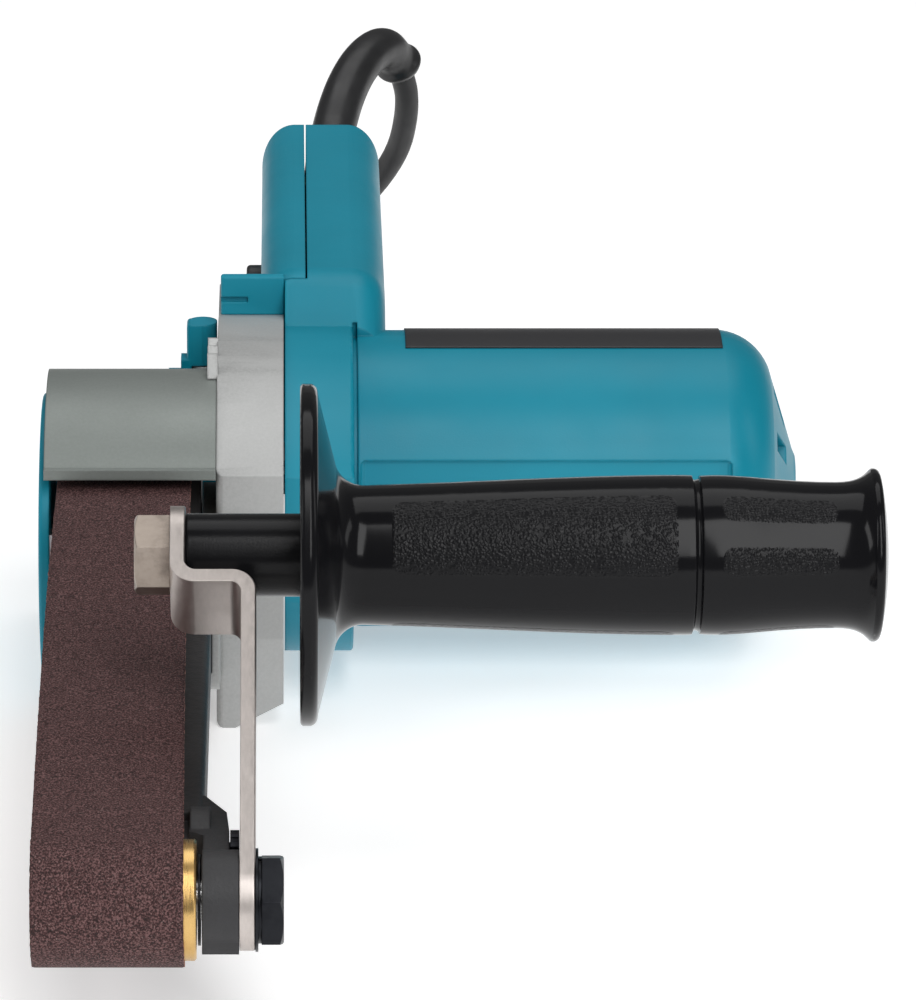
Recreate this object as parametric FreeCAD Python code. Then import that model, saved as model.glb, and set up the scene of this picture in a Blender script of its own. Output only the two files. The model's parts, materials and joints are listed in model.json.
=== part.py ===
import FreeCAD, Part
import math
import os

# Handheld belt sander for 30 x 533 mm belts. Units are millimetres.
# Tool frame used while modelling: the drive pulley's axis is the X axis, +X points to the motor's
# end, +Y to the trigger handle, +Z up. Each solid is moved to the row's origin as it is written.

Vec = FreeCAD.Vector
os.makedirs("parts", exist_ok=True)

# ---------------------------------------------------------------- driving dimensions
BELT_WIDTH = 30.0
BELT_LENGTH = 533.0
BELT_THICK = 1.0
BELT_GAP = 0.3            # clear space between the belt and what it runs on
BELT_X = -35.0            # middle of the belt's width
DRIVE_R = 22.0
IDLER_R = 12.0

GEAR_CENTRES = 28.0
PINION_TEETH = 10
GEAR_TEETH = 46
MODULE = 1.0
MOTOR_Z = 5.2
MOTOR_Y = math.sqrt(GEAR_CENTRES ** 2 - MOTOR_Z ** 2)

BARREL_R = 34.5
BARREL_WALL = 2.6
SIDE_FLAT = 30.2          # the barrel's flat side panels, from the motor's axis
FLAT_HALF = 15.0
BARREL_X0 = 15.8
BARREL_X1 = 118.8
FLANGE_R = 36.2
FLANGE_X0 = 0.2

HOUSING_X0 = -15.2        # left face of the gear housing
HOUSING_X1 = -0.1
HOUSING_FRONT = -29.5
CHIN_Z = -33.5            # the level that the tool rests on
CHIN_FRONT = -33.0
GUARD_R = 39.0
GUARD_WALL = 2.3
GUARD_X0 = -53.7

HANDLE_X0 = -5.4
HANDLE_X1 = 23.6
SEAM_X = 5.2
SEAM_GAP = 0.2             # each half of the handle stops this far from the seam
HANDLE_REAR = 154.6
HANDLE_TOP_FRONT = 50.8
HANDLE_TOP_REAR = 54.4
HANDLE_BOTTOM = 12.0
HANDLE_WALL = 2.6

ARM_X0 = -32.0
ARM_X1 = -16.0
ARM_TRAVEL = 10.0
HEAD_X0 = -16.1
HEAD_X1 = -8.8

STRAP_THICK = 3.1
STRAP_WIDTH = 20.0
STRAP_LOW_X = -8.7        # left face of the strap's lower leg
STRAP_HIGH_X = -23.2      # left face of the strap's upper leg
GRIP_Y = -145.0           # side grip's axis
GRIP_Z = 48.6
GRIP_END_X = 123.0
GRIP_FLANGE_R = 35.0
GRIP_FLANGE_X = 3.3

SHAFT_GAP = 0.03          # radial clearance of a shaft in its bearing

CORD_R = 3.1
COIL_X = 72.0
COIL_Y = 122.0
COIL_MEAN_R = 37.0
COIL_TURNS_WIDE = 4
COIL_HEIGHT = 17.6
GUARD_SLEEVE_R = 5.5


def belt_centres():
    """Distance between the pulley axes that the belt's length gives."""
    big = 2 * (DRIVE_R + BELT_GAP + BELT_THICK / 2)
    small = 2 * (IDLER_R + BELT_GAP + BELT_THICK / 2)
    straight = 4 * BELT_LENGTH - 2 * math.pi * (big + small)
    return (straight + math.sqrt(straight ** 2 - 32 * (big - small) ** 2)) / 16


CENTRES = belt_centres()
IDLER_Y = -CENTRES
BELT_FRONT = IDLER_Y - IDLER_R - BELT_GAP - BELT_THICK
COVER_X0 = -55.0

ORIGIN = Vec((COVER_X0 + GRIP_END_X) / 2, (BELT_FRONT + HANDLE_REAR) / 2, CHIN_Z)

# ---------------------------------------------------------------- helpers
AXIS_X = Vec(1, 0, 0)
AXIS_Y = Vec(0, 1, 0)
AXIS_Z = Vec(0, 0, 1)


def write(name, shape):
    """Moves a finished solid, or group of solids, to the row's origin and writes its STEP file."""
    placed = shape.copy()
    placed.translate(ORIGIN.negative())
    if not placed.isValid():
        print("NOT VALID", name)
    placed.exportStep("parts/" + name + ".step")


def group(shapes):
    return Part.makeCompound(shapes)


def box(x0, x1, y0, y1, z0, z1):
    return Part.makeBox(x1 - x0, y1 - y0, z1 - z0, Vec(x0, y0, z0))


def rod(radius, x0, x1, y=0.0, z=0.0):
    """Cylinder along X."""
    return Part.makeCylinder(radius, x1 - x0, Vec(x0, y, z), AXIS_X)


def rod_y(radius, y0, y1, x, z):
    return Part.makeCylinder(radius, y1 - y0, Vec(x, y0, z), AXIS_Y)


def rod_z(radius, z0, z1, x, y):
    return Part.makeCylinder(radius, z1 - z0, Vec(x, y, z0), AXIS_Z)


def ring(outer, inner, x0, x1, y=0.0, z=0.0):
    return rod(outer, x0, x1, y, z).cut(rod(inner, x0 - 1, x1 + 1, y, z))


def turned(profile, y=0.0, z=0.0):
    """Solid turned about the line through (y, z) along X. The profile is a list of (x, radius)."""
    points = [Vec(x, y, z + r) for x, r in profile]
    face = Part.Face(Part.makePolygon(points + [points[0]]))
    return face.revolve(Vec(0, y, z), AXIS_X, 360)


def outline_x(points, x0, x1):
    """Straight-sided outline of (y, z) points, extruded along X."""
    corners = [Vec(x0, y, z) for y, z in points]
    face = Part.Face(Part.makePolygon(corners + [corners[0]]))
    return face.extrude(Vec(x1 - x0, 0, 0))


def outline_y(points, y0, y1):
    """Straight-sided outline of (x, z) points, extruded along Y."""
    corners = [Vec(x, y0, z) for x, z in points]
    face = Part.Face(Part.makePolygon(corners + [corners[0]]))
    return face.extrude(Vec(0, y1 - y0, 0))


def hexagon(across_flats, x0, x1, y, z, turn=0.0):
    """Hexagonal bar along X; a turn of 0 puts a corner at the front."""
    corner_r = across_flats / math.sqrt(3)
    points = []
    for k in range(6):
        a = math.radians(60 * k + turn)
        points.append((y + corner_r * math.cos(a), z + corner_r * math.sin(a)))
    return outline_x(points, x0, x1)


def bolt_head(across_flats, x0, x1, y, z, turn, chamfered):
    """Hex head with the corners of its chamfered face taken off by a cone."""
    head = hexagon(across_flats, x0, x1, y, z, turn)
    corner_r = across_flats / math.sqrt(3)
    flat_r = across_flats / 2
    fall = (corner_r - flat_r) * 0.6
    if chamfered == "right":
        cone = turned([(x0, 0), (x0, corner_r + 1), (x1 - fall, corner_r + 0.05),
                       (x1, flat_r * 0.97), (x1, 0)], y, z)
    else:
        cone = turned([(x0, 0), (x0, flat_r * 0.97), (x0 + fall, corner_r + 0.05),
                       (x1, corner_r + 1), (x1, 0)], y, z)
    return head.common(cone)


def rounded(shape, radius, wanted):
    """Fillets the edges that the test picks, and keeps the plain shape where that can't be done."""
    edges = [e for e in shape.Edges if wanted(e)]
    if not edges:
        return shape
    try:
        done = shape.makeFillet(radius, edges)
    except Part.OCCError:
        print("fillet left out, radius", radius)
        return shape
    if done.isValid() and done.Volume > 0:
        return done
    print("fillet left out, radius", radius)
    return shape


def along_x(edge):
    """True for a straight edge that runs along X."""
    if len(edge.Vertexes) != 2:
        return False
    d = edge.Vertexes[1].Point.sub(edge.Vertexes[0].Point)
    return abs(d.y) < 1e-4 and abs(d.z) < 1e-4


def middle(edge):
    return edge.BoundBox.Center


def one_solid(shape):
    """The single solid of a boolean's result."""
    clean = shape.removeSplitter()
    if len(clean.Solids) == 1:
        return clean.Solids[0]
    print("solids in a piece:", len(clean.Solids))
    return clean


def polar(radius, degrees):
    a = math.radians(degrees)
    return radius * math.cos(a), radius * math.sin(a)


def arc_edge(p, q, r):
    return Part.Arc(p, q, r).toShape()


def line_edge(p, q):
    return Part.LineSegment(p, q).toShape()


# ---------------------------------------------------------------- belt, pulleys and their shafts
def belt_outline(inflate, x):
    """Closed wire of an open belt whose inside stands the given amount off both pulleys."""
    big = DRIVE_R + inflate
    small = IDLER_R + inflate
    ny = -(big - small) / CENTRES
    nz = math.sqrt(1 - ny * ny)
    upper_big = Vec(x, big * ny, big * nz)
    lower_big = Vec(x, big * ny, -big * nz)
    upper_small = Vec(x, IDLER_Y + small * ny, small * nz)
    lower_small = Vec(x, IDLER_Y + small * ny, -small * nz)
    return Part.Wire([
        arc_edge(lower_big, Vec(x, big, 0), upper_big),
        line_edge(upper_big, upper_small),
        arc_edge(upper_small, Vec(x, IDLER_Y - small, 0), lower_small),
        line_edge(lower_small, lower_big)])


def sanding_belt():
    x0 = BELT_X - BELT_WIDTH / 2
    outer = Part.Face(belt_outline(BELT_GAP + BELT_THICK, x0))
    inner = Part.Face(belt_outline(BELT_GAP, x0))
    return outer.cut(inner).extrude(Vec(BELT_WIDTH, 0, 0)).Solids[0]


SHAFT_R = 5.0
PULLEY_X0 = -51.2
PULLEY_X1 = -18.8
TYRE_THICK = 2.0
HUB_LEFT = -45.2          # left face of the pulley's hub, where the nut bears
GEAR_X0 = -11.0
GEAR_X1 = -4.0


def drive_pulley():
    """Aluminium wheel with a hub, a web with six holes and a rim for the rubber tyre."""
    rim_r = DRIVE_R - TYRE_THICK
    wheel = turned([
        (PULLEY_X0, rim_r - 3.2), (PULLEY_X0, rim_r), (PULLEY_X1, rim_r), (PULLEY_X1, rim_r - 3.2),
        (-32.0, rim_r - 3.8), (-32.0, 9.6), (PULLEY_X1, 9.0), (PULLEY_X1, SHAFT_R),
        (HUB_LEFT, SHAFT_R), (HUB_LEFT, 9.0), (-38.0, 9.6), (-38.0, rim_r - 3.8)])
    for k in range(6):
        y, z = polar(12.9, 60 * k)
        wheel = wheel.cut(rod(2.4, -39, -31, y, z))
    return one_solid(wheel)


def pulley_tyre():
    """Rubber lagging, ground to a slight crown."""
    rim_r = DRIVE_R - TYRE_THICK
    edge_r = DRIVE_R - 0.35
    return turned([(PULLEY_X0, rim_r), (PULLEY_X0, edge_r), (BELT_X - 6, DRIVE_R),
                   (BELT_X + 6, DRIVE_R), (PULLEY_X1, edge_r), (PULLEY_X1, rim_r)])


def drive_shaft():
    """Stepped shaft from the pulley's nut thread to the right-hand bearing."""
    return turned([(-51.8, 0), (-51.8, 3.4), (-51.2, 4.0), (HUB_LEFT, 4.0), (HUB_LEFT, SHAFT_R),
                   (7.4, SHAFT_R), (7.8, SHAFT_R - 0.4), (7.8, 0)])


def pulley_nut():
    left = HUB_LEFT - 4.6
    nut = hexagon(13.0, left, HUB_LEFT, 0, 0, 30)
    cone = turned([(left, 0), (left, 6.4), (left + 0.8, 7.6), (HUB_LEFT, 7.6), (HUB_LEFT, 0)])
    return nut.common(cone).cut(rod(4.0, left - 1, HUB_LEFT + 1))


def spur_gear(teeth, x0, x1, y, z, bore, first_tooth):
    """Straight gear. Flanks lean like involutes near the pitch line and leave backlash."""
    pitch_r = MODULE * teeth / 2
    root_r = pitch_r - 1.2 * MODULE
    tip_r = pitch_r + 0.85 * MODULE
    step = 360 / teeth
    points = []
    for k in range(teeth):
        at = first_tooth + k * step
        for share, r in ((-0.30, root_r), (-0.205, pitch_r), (-0.085, tip_r),
                         (0.085, tip_r), (0.205, pitch_r), (0.30, root_r)):
            dy, dz = polar(r, at + share * step)
            points.append((y + dy, z + dz))
    gear = outline_x(points, x0, x1)
    if bore > 0:
        gear = gear.cut(rod(bore, x0 - 1, x1 + 1, y, z))
    return gear


MESH_ANGLE = math.degrees(math.atan2(MOTOR_Z, MOTOR_Y))


def drive_gear():
    """46-tooth gear, a tooth gap of it facing the pinion, with a hub and a turned recess."""
    gear = spur_gear(GEAR_TEETH, GEAR_X0, GEAR_X1, 0, 0, SHAFT_R, MESH_ANGLE + 180 / GEAR_TEETH)
    gear = gear.cut(ring(19.0, 9.0, GEAR_X0 - 0.5, GEAR_X0 + 1.6))
    gear = gear.cut(ring(19.0, 9.0, GEAR_X1 - 1.6, GEAR_X1 + 0.5))
    return one_solid(gear)


def shaft_bearings():
    """Ball bearing in the housing's left wall and one in the bearing plate."""
    left = ring(10.0, SHAFT_R + SHAFT_GAP, -18.3, -12.3)
    right = ring(8.5, SHAFT_R + SHAFT_GAP, 0.9, 6.9)
    return [left, right]


IDLER_X0 = -49.7
IDLER_X1 = -17.2
AXLE_R = 4.0


def idler_pulley():
    """Brass roller, counterbored for the snap ring at its left end."""
    bore = AXLE_R + SHAFT_GAP
    return turned([
        (-48.2, bore), (-48.2, 7.6), (IDLER_X0, 7.6), (IDLER_X0, IDLER_R - 0.6),
        (IDLER_X0 + 0.6, IDLER_R), (IDLER_X1 - 0.4, IDLER_R), (IDLER_X1, IDLER_R - 0.4),
        (IDLER_X1, bore)], IDLER_Y, 0)


def idler_axle():
    """Axle with a snap-ring groove at its left end, pressed into the arm's head."""
    return turned([(-49.9, 0), (-49.9, 3.4), (-49.5, AXLE_R), (-49.3, AXLE_R), (-49.3, 3.2),
                   (-48.5, 3.2), (-48.5, AXLE_R), (-13.6, AXLE_R), (-13.6, 0)], IDLER_Y, 0)


def idler_clip():
    """Snap ring in the axle's groove."""
    clip = ring(6.4, 3.2, -49.3, -48.5, IDLER_Y, 0)
    mouth = box(-50, -48, IDLER_Y - 8, IDLER_Y, -2.0, 2.0)
    return one_solid(clip.cut(mouth))


def idler_washer():
    """Dark washer between the brass roller and the arm's head."""
    return ring(9.0, AXLE_R + SHAFT_GAP, -16.9, -16.4, IDLER_Y, 0)


# ---------------------------------------------------------------- motor
MOTOR_SHAFT_R = 4.0
CORE_R = 19.0
CORE_X0 = 32.0
CORE_X1 = 70.0
BRUSH_X = 86.0


def m_rod(radius, x0, x1):
    return rod(radius, x0, x1, MOTOR_Y, MOTOR_Z)


def m_ring(outer, inner, x0, x1):
    return ring(outer, inner, x0, x1, MOTOR_Y, MOTOR_Z)


def armature_shaft():
    """Motor shaft with the ten-tooth pinion cut on its left end."""
    pinion = spur_gear(PINION_TEETH, GEAR_X0 - 0.5, GEAR_X1 + 0.5, MOTOR_Y, MOTOR_Z, 0,
                       MESH_ANGLE + 180)
    shaft = turned([(GEAR_X1 + 0.5, 0), (GEAR_X1 + 0.5, 3.6), (4, MOTOR_SHAFT_R),
                    (103.4, MOTOR_SHAFT_R), (103.8, 3.6), (103.8, 0)], MOTOR_Y, MOTOR_Z)
    return one_solid(pinion.fuse(shaft))


def armature_core():
    """Laminated rotor with twelve slots, and its windings' end turns."""
    core = m_ring(CORE_R, MOTOR_SHAFT_R, CORE_X0, CORE_X1)
    for k in range(12):
        y, z = polar(CORE_R - 0.5, 30 * k)
        core = core.cut(rod(1.3, CORE_X0 - 1, CORE_X1 + 1, MOTOR_Y + y, MOTOR_Z + z))
    return one_solid(core)


def armature_windings():
    """Varnished end turns at both ends of the rotor."""
    front = turned([(CORE_X0 - 6, 5.0), (CORE_X0 - 6, 13.0), (CORE_X0 - 3, 16.4),
                    (CORE_X0, 17.0), (CORE_X0, 5.0)], MOTOR_Y, MOTOR_Z)
    rear = turned([(CORE_X1, 5.0), (CORE_X1, 17.0), (CORE_X1 + 3, 16.4),
                   (CORE_X1 + 6, 12.6), (CORE_X1 + 6, 5.0)], MOTOR_Y, MOTOR_Z)
    return [front, rear]


def commutator():
    """Copper commutator, its 24 bars parted by shallow slots."""
    drum = m_ring(11.0, MOTOR_SHAFT_R, 78.0, 93.0)
    for k in range(24):
        slot = box(77.5, 91.0, -0.25, 0.25, 10.2, 12.0)
        slot.rotate(Vec(0, 0, 0), AXIS_X, 15 * k)
        slot.translate(Vec(0, MOTOR_Y, MOTOR_Z))
        drum = drum.cut(slot)
    return one_solid(drum)


def fan():
    """Cooling fan: a back plate with fourteen straight blades on a hub."""
    wheel = m_ring(9.0, MOTOR_SHAFT_R, 12.6, 24.0).fuse(m_ring(26.0, MOTOR_SHAFT_R, 22.4, 24.0))
    for k in range(14):
        blade = box(14.6, 22.6, -0.7, 0.7, 8.0, 26.0)
        blade.rotate(Vec(0, 0, 0), AXIS_X, 360 / 14 * k)
        blade.translate(Vec(0, MOTOR_Y, MOTOR_Z))
        wheel = wheel.fuse(blade)
    return one_solid(wheel)


def motor_bearings():
    front = m_ring(11.0, MOTOR_SHAFT_R + SHAFT_GAP, 2.4, 9.4)
    rear = m_ring(9.5, MOTOR_SHAFT_R + SHAFT_GAP, 97.0, 103.0)
    return [front, rear]


STACK_R = BARREL_R - BARREL_WALL - 0.2
STACK_SIDE = SIDE_FLAT - BARREL_WALL - 0.2


def between_flats(shape, half):
    """The part of a motor piece that lies between the barrel's two flat sides."""
    return shape.common(box(0, 130, MOTOR_Y - half, MOTOR_Y + half, MOTOR_Z - 60, MOTOR_Z + 60))


def field_stator():
    """Laminated stack with a pole on each side and a winding window above and below."""
    stack = between_flats(m_ring(STACK_R, CORE_R + 0.6, CORE_X0 + 1, CORE_X1 - 1), STACK_SIDE)
    for z0, z1 in ((-60, 0), (0, 60)):
        window = m_ring(STACK_R - 3.6, CORE_R, CORE_X0, CORE_X1)
        keep = box(0, 130, MOTOR_Y - 9.5, MOTOR_Y + 9.5, MOTOR_Z + z0, MOTOR_Z + z1)
        stack = stack.cut(window.common(keep))
    return one_solid(stack)


def field_coils():
    """Two taped copper coils, a bar of each in either window, joined by arches at both ends."""
    outer = STACK_R - 4.4
    inner = CORE_R + 1.2
    coils = []
    for side in (-1, 1):
        near, far = (0.4, 9.0) if side > 0 else (-9.0, -0.4)
        wide = (0.4, 60) if side > 0 else (-60, -0.4)
        bars = m_ring(outer, inner, CORE_X0 - 3, CORE_X1 + 3).common(
            box(0, 130, MOTOR_Y + near, MOTOR_Y + far, MOTOR_Z - 60, MOTOR_Z + 60))
        coil = bars
        for x0, x1 in ((CORE_X0 - 5, CORE_X0 - 0.5), (CORE_X1 + 0.5, CORE_X1 + 5)):
            arch = m_ring(outer, inner, x0, x1)
            coil = coil.fuse(arch.common(
                box(0, 130, MOTOR_Y + wide[0], MOTOR_Y + wide[1], MOTOR_Z - 60, MOTOR_Z + 60)))
        coils.append(one_solid(coil))
    return coils


def brush_parts():
    """Holder tube, carbon and slotted cap on each side of the commutator."""
    holders = []
    carbons = []
    caps = []
    for side in (-1, 1):
        def across(radius, near, far):
            a, b = sorted((MOTOR_Y + side * near, MOTOR_Y + side * far))
            return rod_y(radius, a, b, BRUSH_X, MOTOR_Z)

        holders.append(across(5.2, 13.0, STACK_SIDE).cut(across(4.0, 12.0, SIDE_FLAT)))
        carbons.append(across(3.9, 11.3, 22.5))
        cap = across(6.6, STACK_SIDE, SIDE_FLAT - 0.3)
        slot_y = sorted((MOTOR_Y + side * (SIDE_FLAT - 1.4), MOTOR_Y + side * (SIDE_FLAT + 1)))
        cap = cap.cut(box(BRUSH_X - 7, BRUSH_X + 7, slot_y[0], slot_y[1],
                          MOTOR_Z - 0.7, MOTOR_Z + 0.7))
        caps.append(one_solid(cap))
    return holders, carbons, caps


# ---------------------------------------------------------------- castings and mouldings
def outline_z(points, z0, z1):
    """Straight-sided outline of (x, y) points, extruded along Z."""
    corners = [Vec(x, y, z0) for x, y in points]
    face = Part.Face(Part.makePolygon(corners + [corners[0]]))
    return face.extrude(Vec(0, 0, z1 - z0))


def mixed_outline_x(stretches, x0, x1):
    """Outline along X of straight and arched stretches: each is 2 or 3 points of (y, z)."""
    edges = []
    for stretch in stretches:
        p = [Vec(x0, y, z) for y, z in stretch]
        edges.append(line_edge(*p) if len(p) == 2 else arc_edge(*p))
    return Part.Face(Part.Wire(edges)).extrude(Vec(x1 - x0, 0, 0))


BLOCK_Y0 = 39.7
BLOCK_Y1 = 64.0
BLOCK_TOP = 50.9
TOWER_REAR = 40.5         # joint across the handle between its two halves
BLOCK_Z = 41.2            # joint between the gear housing and the teal block on it
GEAR_CAVITY_R = 25.2
HINGE_X = -19.0
HINGE_Y = 45.0
KNUCKLE_R = 3.4
HINGE_PIN_R = 1.5


def gear_housing():
    """Casting with the gear cavity, the chin, the arm's channel, hinge lugs and three small fins."""
    rear = BLOCK_Y1 - 0.5
    body = mixed_outline_x([
        [(CHIN_FRONT, CHIN_Z), (CHIN_FRONT, -12.0)],
        [(CHIN_FRONT, -12.0), (HOUSING_FRONT, 4.0)],
        [(HOUSING_FRONT, 4.0), (HOUSING_FRONT, 25.5)],
        [(HOUSING_FRONT, 25.5), (4.0, 41.4), (BLOCK_Y0, BLOCK_Z)],
        [(BLOCK_Y0, BLOCK_Z), (rear, BLOCK_Z)],
        [(rear, BLOCK_Z), (rear, 6.0)],
        [(rear, 6.0), (50.0, -20.5), (22.0, -30.5)],
        [(22.0, -30.5), (-6.0, -30.0)],
        [(-6.0, -30.0), (-18.0, CHIN_Z)],
        [(-18.0, CHIN_Z), (CHIN_FRONT, CHIN_Z)]], HOUSING_X0, HOUSING_X1)
    slant = outline_y([(-11.0, CHIN_Z), (1.0, -27.0), (1.0, -45.0), (-11.0, -45.0)], -40, 40)
    body = body.cut(slant)
    body = rounded(body, 1.6, lambda e: abs(middle(e).x - HOUSING_X0) < 0.01
                   and middle(e).y < -20 and middle(e).z < 24)
    body = body.fuse(rod(13.0, -18.4, HOUSING_X0 + 1))
    floor_x = HOUSING_X0 + 3.0
    cavity = rod(GEAR_CAVITY_R, floor_x, 5).fuse(rod(8.0, floor_x, 5, MOTOR_Y, MOTOR_Z))
    body = body.cut(cavity)
    body = body.cut(rod(10.0, -18.3, -12.0)).cut(rod(SHAFT_R + 1.0, -30, 5))
    body = body.fuse(arm_channel())
    for k in range(3):
        y = -2.0 + 7.0 * k
        fin = outline_x([(y, 39.1), (y + 2.6, 44.5 - 0.4 * k), (y + 5.2, 39.1)], -17.4, -15.0)
        body = body.fuse(fin)
    for z0, z1 in ((-22.0, -10.3), (0.3, 27.7)):
        lug = rod_z(KNUCKLE_R, z0, z1, HINGE_X, HINGE_Y)
        arm = box(HINGE_X, HOUSING_X0 + 1, HINGE_Y - 2.5, HINGE_Y + 2.5, z0, z1)
        body = body.fuse(lug).fuse(arm)
    body = body.cut(rod_z(HINGE_PIN_R, -22.5, 40, HINGE_X, HINGE_Y))
    for y, z in HOUSING_SCREWS:
        body = body.cut(rod(2.0, -30, 5, y, z)).cut(rod(3.7, -30, HOUSING_X0 + 3.4, y, z))
    return one_solid(body)


HOUSING_SCREWS = ((-22.0, -25.2), (34.0, 34.5), (56.0, 14.0), (-22.8, 22.5))


ARM_Z0 = -9.0
ARM_Z1 = 7.0
CHANNEL_FRONT = -62.0
CHANNEL_REAR = -26.5
ARM_REAR = -44.0
SPRING_R = 4.8
SPRING_Z = -1.0
SPRING_X = (ARM_X0 + ARM_X1) / 2


def arm_channel():
    """Box-shaped channel on the housing's left face in which the belt arm slides."""
    gap = 0.15
    wall = 3.2
    solid = box(ARM_X0 - gap - wall, HOUSING_X0 + 1, CHANNEL_FRONT, CHANNEL_REAR,
                ARM_Z0 - gap - 4.6, ARM_Z1 + gap + 4.0)
    solid = rounded(solid, 2.5, lambda e: middle(e).y < CHANNEL_FRONT + 0.01
                    and middle(e).x < HOUSING_X0)
    hollow = box(ARM_X0 - gap, ARM_X1 + gap, CHANNEL_FRONT - 5, CHANNEL_REAR - 2.0,
                 ARM_Z0 - gap, ARM_Z1 + gap)
    rib = outline_x([(CHANNEL_FRONT + 3, -13.5), (HOUSING_FRONT + 6, -24.0),
                     (HOUSING_FRONT + 6, -13.5)], ARM_X1 - 3.5, HOUSING_X0 + 1)
    ledge = box(ARM_X1 - 4.5, HOUSING_X0 + 1, CHANNEL_FRONT + 10, HOUSING_FRONT + 6, -13.8, -11.0)
    return solid.cut(hollow).fuse(rib).fuse(ledge)


def belt_guard():
    """Arched guard over the drive pulley with a thicker lip at its front edge."""
    inner = GUARD_R - GUARD_WALL
    front_y, front_z = polar(GUARD_R, 139.4)
    shell = ring(GUARD_R, inner, GUARD_X0, HOUSING_X0 - 0.05)
    wedge_points = [(0, 0), polar(80, 139.4), polar(113, 95), polar(80, 42)]
    shell = shell.common(outline_x(wedge_points, -60, 0))
    lip = box(GUARD_X0, HOUSING_X0 - 0.05, front_y, front_y + 3.4, front_z - 0.9, front_z + 1.6)
    shell = shell.fuse(lip)
    return one_solid(shell)


COVER_R = 33.5
COVER_INNER_X = -52.6
COVER_WALL_Y0 = 41.5
COVER_WALL_Y1 = 44.0
PIN_TOP = 36.0


def belt_cover():
    """Hinged side cover: face plate, rear wall, hinge arms and two knuckles."""
    plate = rod(COVER_R, COVER_X0, COVER_INNER_X)
    tail = outline_x([(0, -COVER_R), (COVER_WALL_Y1, -24.0), (COVER_WALL_Y1, 14.0),
                      (8.0, 32.5), (0, 30.0)], COVER_X0, COVER_INNER_X)
    cover = plate.fuse(tail).removeSplitter()
    cover = rounded(cover, 0.8, lambda e: abs(middle(e).x - COVER_X0) < 0.01)
    wall = box(COVER_INNER_X - 1, -26.8, COVER_WALL_Y0, COVER_WALL_Y1, -24.0, 14.0)
    cover = cover.fuse(wall)
    for z0, z1 in ((-10.0, 0.0), (28.0, 38.0)):
        cover = cover.fuse(rod_z(KNUCKLE_R, z0, z1, HINGE_X, HINGE_Y))
    cover = cover.fuse(box(-27.0, -21.6, COVER_WALL_Y0, HINGE_Y + 1.5, -10.0, 26.0))
    cover = cover.fuse(box(-24.1, -21.6, COVER_WALL_Y0, HINGE_Y + 1.5, 25.0, 29.6))
    top_block = box(HINGE_X - 3.7, HINGE_X, COVER_WALL_Y0, HINGE_Y + 2.0, 28.0, 38.0)
    cover = cover.fuse(rounded(top_block, 0.8, lambda e: middle(e).x < HINGE_X - 3.6))
    for z0, z1 in ((-30.0, -10.0), (0.0, 28.0)):
        cover = cover.cut(rod_z(KNUCKLE_R + 0.4, z0, z1, HINGE_X, HINGE_Y))
    cover = cover.cut(rod_z(HINGE_PIN_R + SHAFT_GAP, -30, PIN_TOP + 0.1, HINGE_X, HINGE_Y))
    for k in range(3):
        cover = cover.cut(ring(28.0 - 7 * k, 26.4 - 7 * k, COVER_X0 - 1, COVER_X0 + 0.6))
    return one_solid(cover)


def hinge_pin():
    return rod_z(HINGE_PIN_R, -22.0, PIN_TOP, HINGE_X, HINGE_Y)


def cover_catch():
    """Spring-steel catch riveted inside the cover; it clips over a boss of the guard."""
    leaf = box(COVER_INNER_X, COVER_INNER_X + 0.6, -31.0, -26.5, 2.0, 12.0)
    hook = box(COVER_INNER_X, COVER_INNER_X + 5.0, -31.0, -30.3, 2.0, 12.0)
    return one_solid(leaf.fuse(hook))


# ---------------------------------------------------------------- motor housing and handle
def handle_outline(inset):
    """Side outline of the handle as (y, z) points; the inset gives the wall's inner face."""
    i = inset
    return [(28.0 + i, 20.0), (28.0 + i, 42.0), (41.5 + 0.5 * i, HANDLE_TOP_FRONT - i),
            (HANDLE_REAR - i, HANDLE_TOP_REAR - i), (HANDLE_REAR - 5.5 - i, 14.0 + i),
            (119.0, 11.0 + i), (72.0, 9.0 + i), (62.0, 0.0 + i), (40.0, 0.0 + i)]


def whole_handle():
    """Handle as one rounded block, before it is parted and hollowed."""
    block = outline_x(handle_outline(0), HANDLE_X0, HANDLE_X1)

    def top_or_rear(e):
        m = middle(e)
        side = abs(m.x - HANDLE_X0) < 0.01 or abs(m.x - HANDLE_X1) < 0.01
        return side and (m.z > 51.5 or m.y > 149)

    block = rounded(block, 14.0, lambda e: along_x(e) and abs(middle(e).z - HANDLE_TOP_FRONT) < 0.1)
    block = rounded(block, 8.0, top_or_rear)
    block = rounded(block, 5.0, lambda e: abs(middle(e).z - 10.0) < 1.2 and not along_x(e)
                    and (abs(middle(e).x - HANDLE_X0) < 0.01 or abs(middle(e).x - HANDLE_X1) < 0.01))
    return block


TRIGGER_X0 = 3.0
TRIGGER_X1 = 15.2
TRIGGER_PIVOT = (80.5, 18.0)
TRIGGER_PIN_R = 1.5
DIAL_X0 = 6.4
DIAL_X1 = 12.6
DIAL_Y = 137.0
DIAL_Z = 21.0
DIAL_R = 11.5
LOCK_Y = 88.0
LOCK_Z = 34.0
LOCK_R = 4.2
SLEEVE_Y = 147.0
SLEEVE_X = 10.0
SLEEVE_Z = 40.0
SLEEVE_ROUTE = [Vec(SLEEVE_X, 141.5, SLEEVE_Z), Vec(10.4, 165.0, 43.4), Vec(14.0, 181.0, 58.0),
                Vec(21.0, 195.0, 66.0), Vec(27.0, 206.0, 64.0), Vec(29.5, 209.8, 55.0)]


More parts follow.
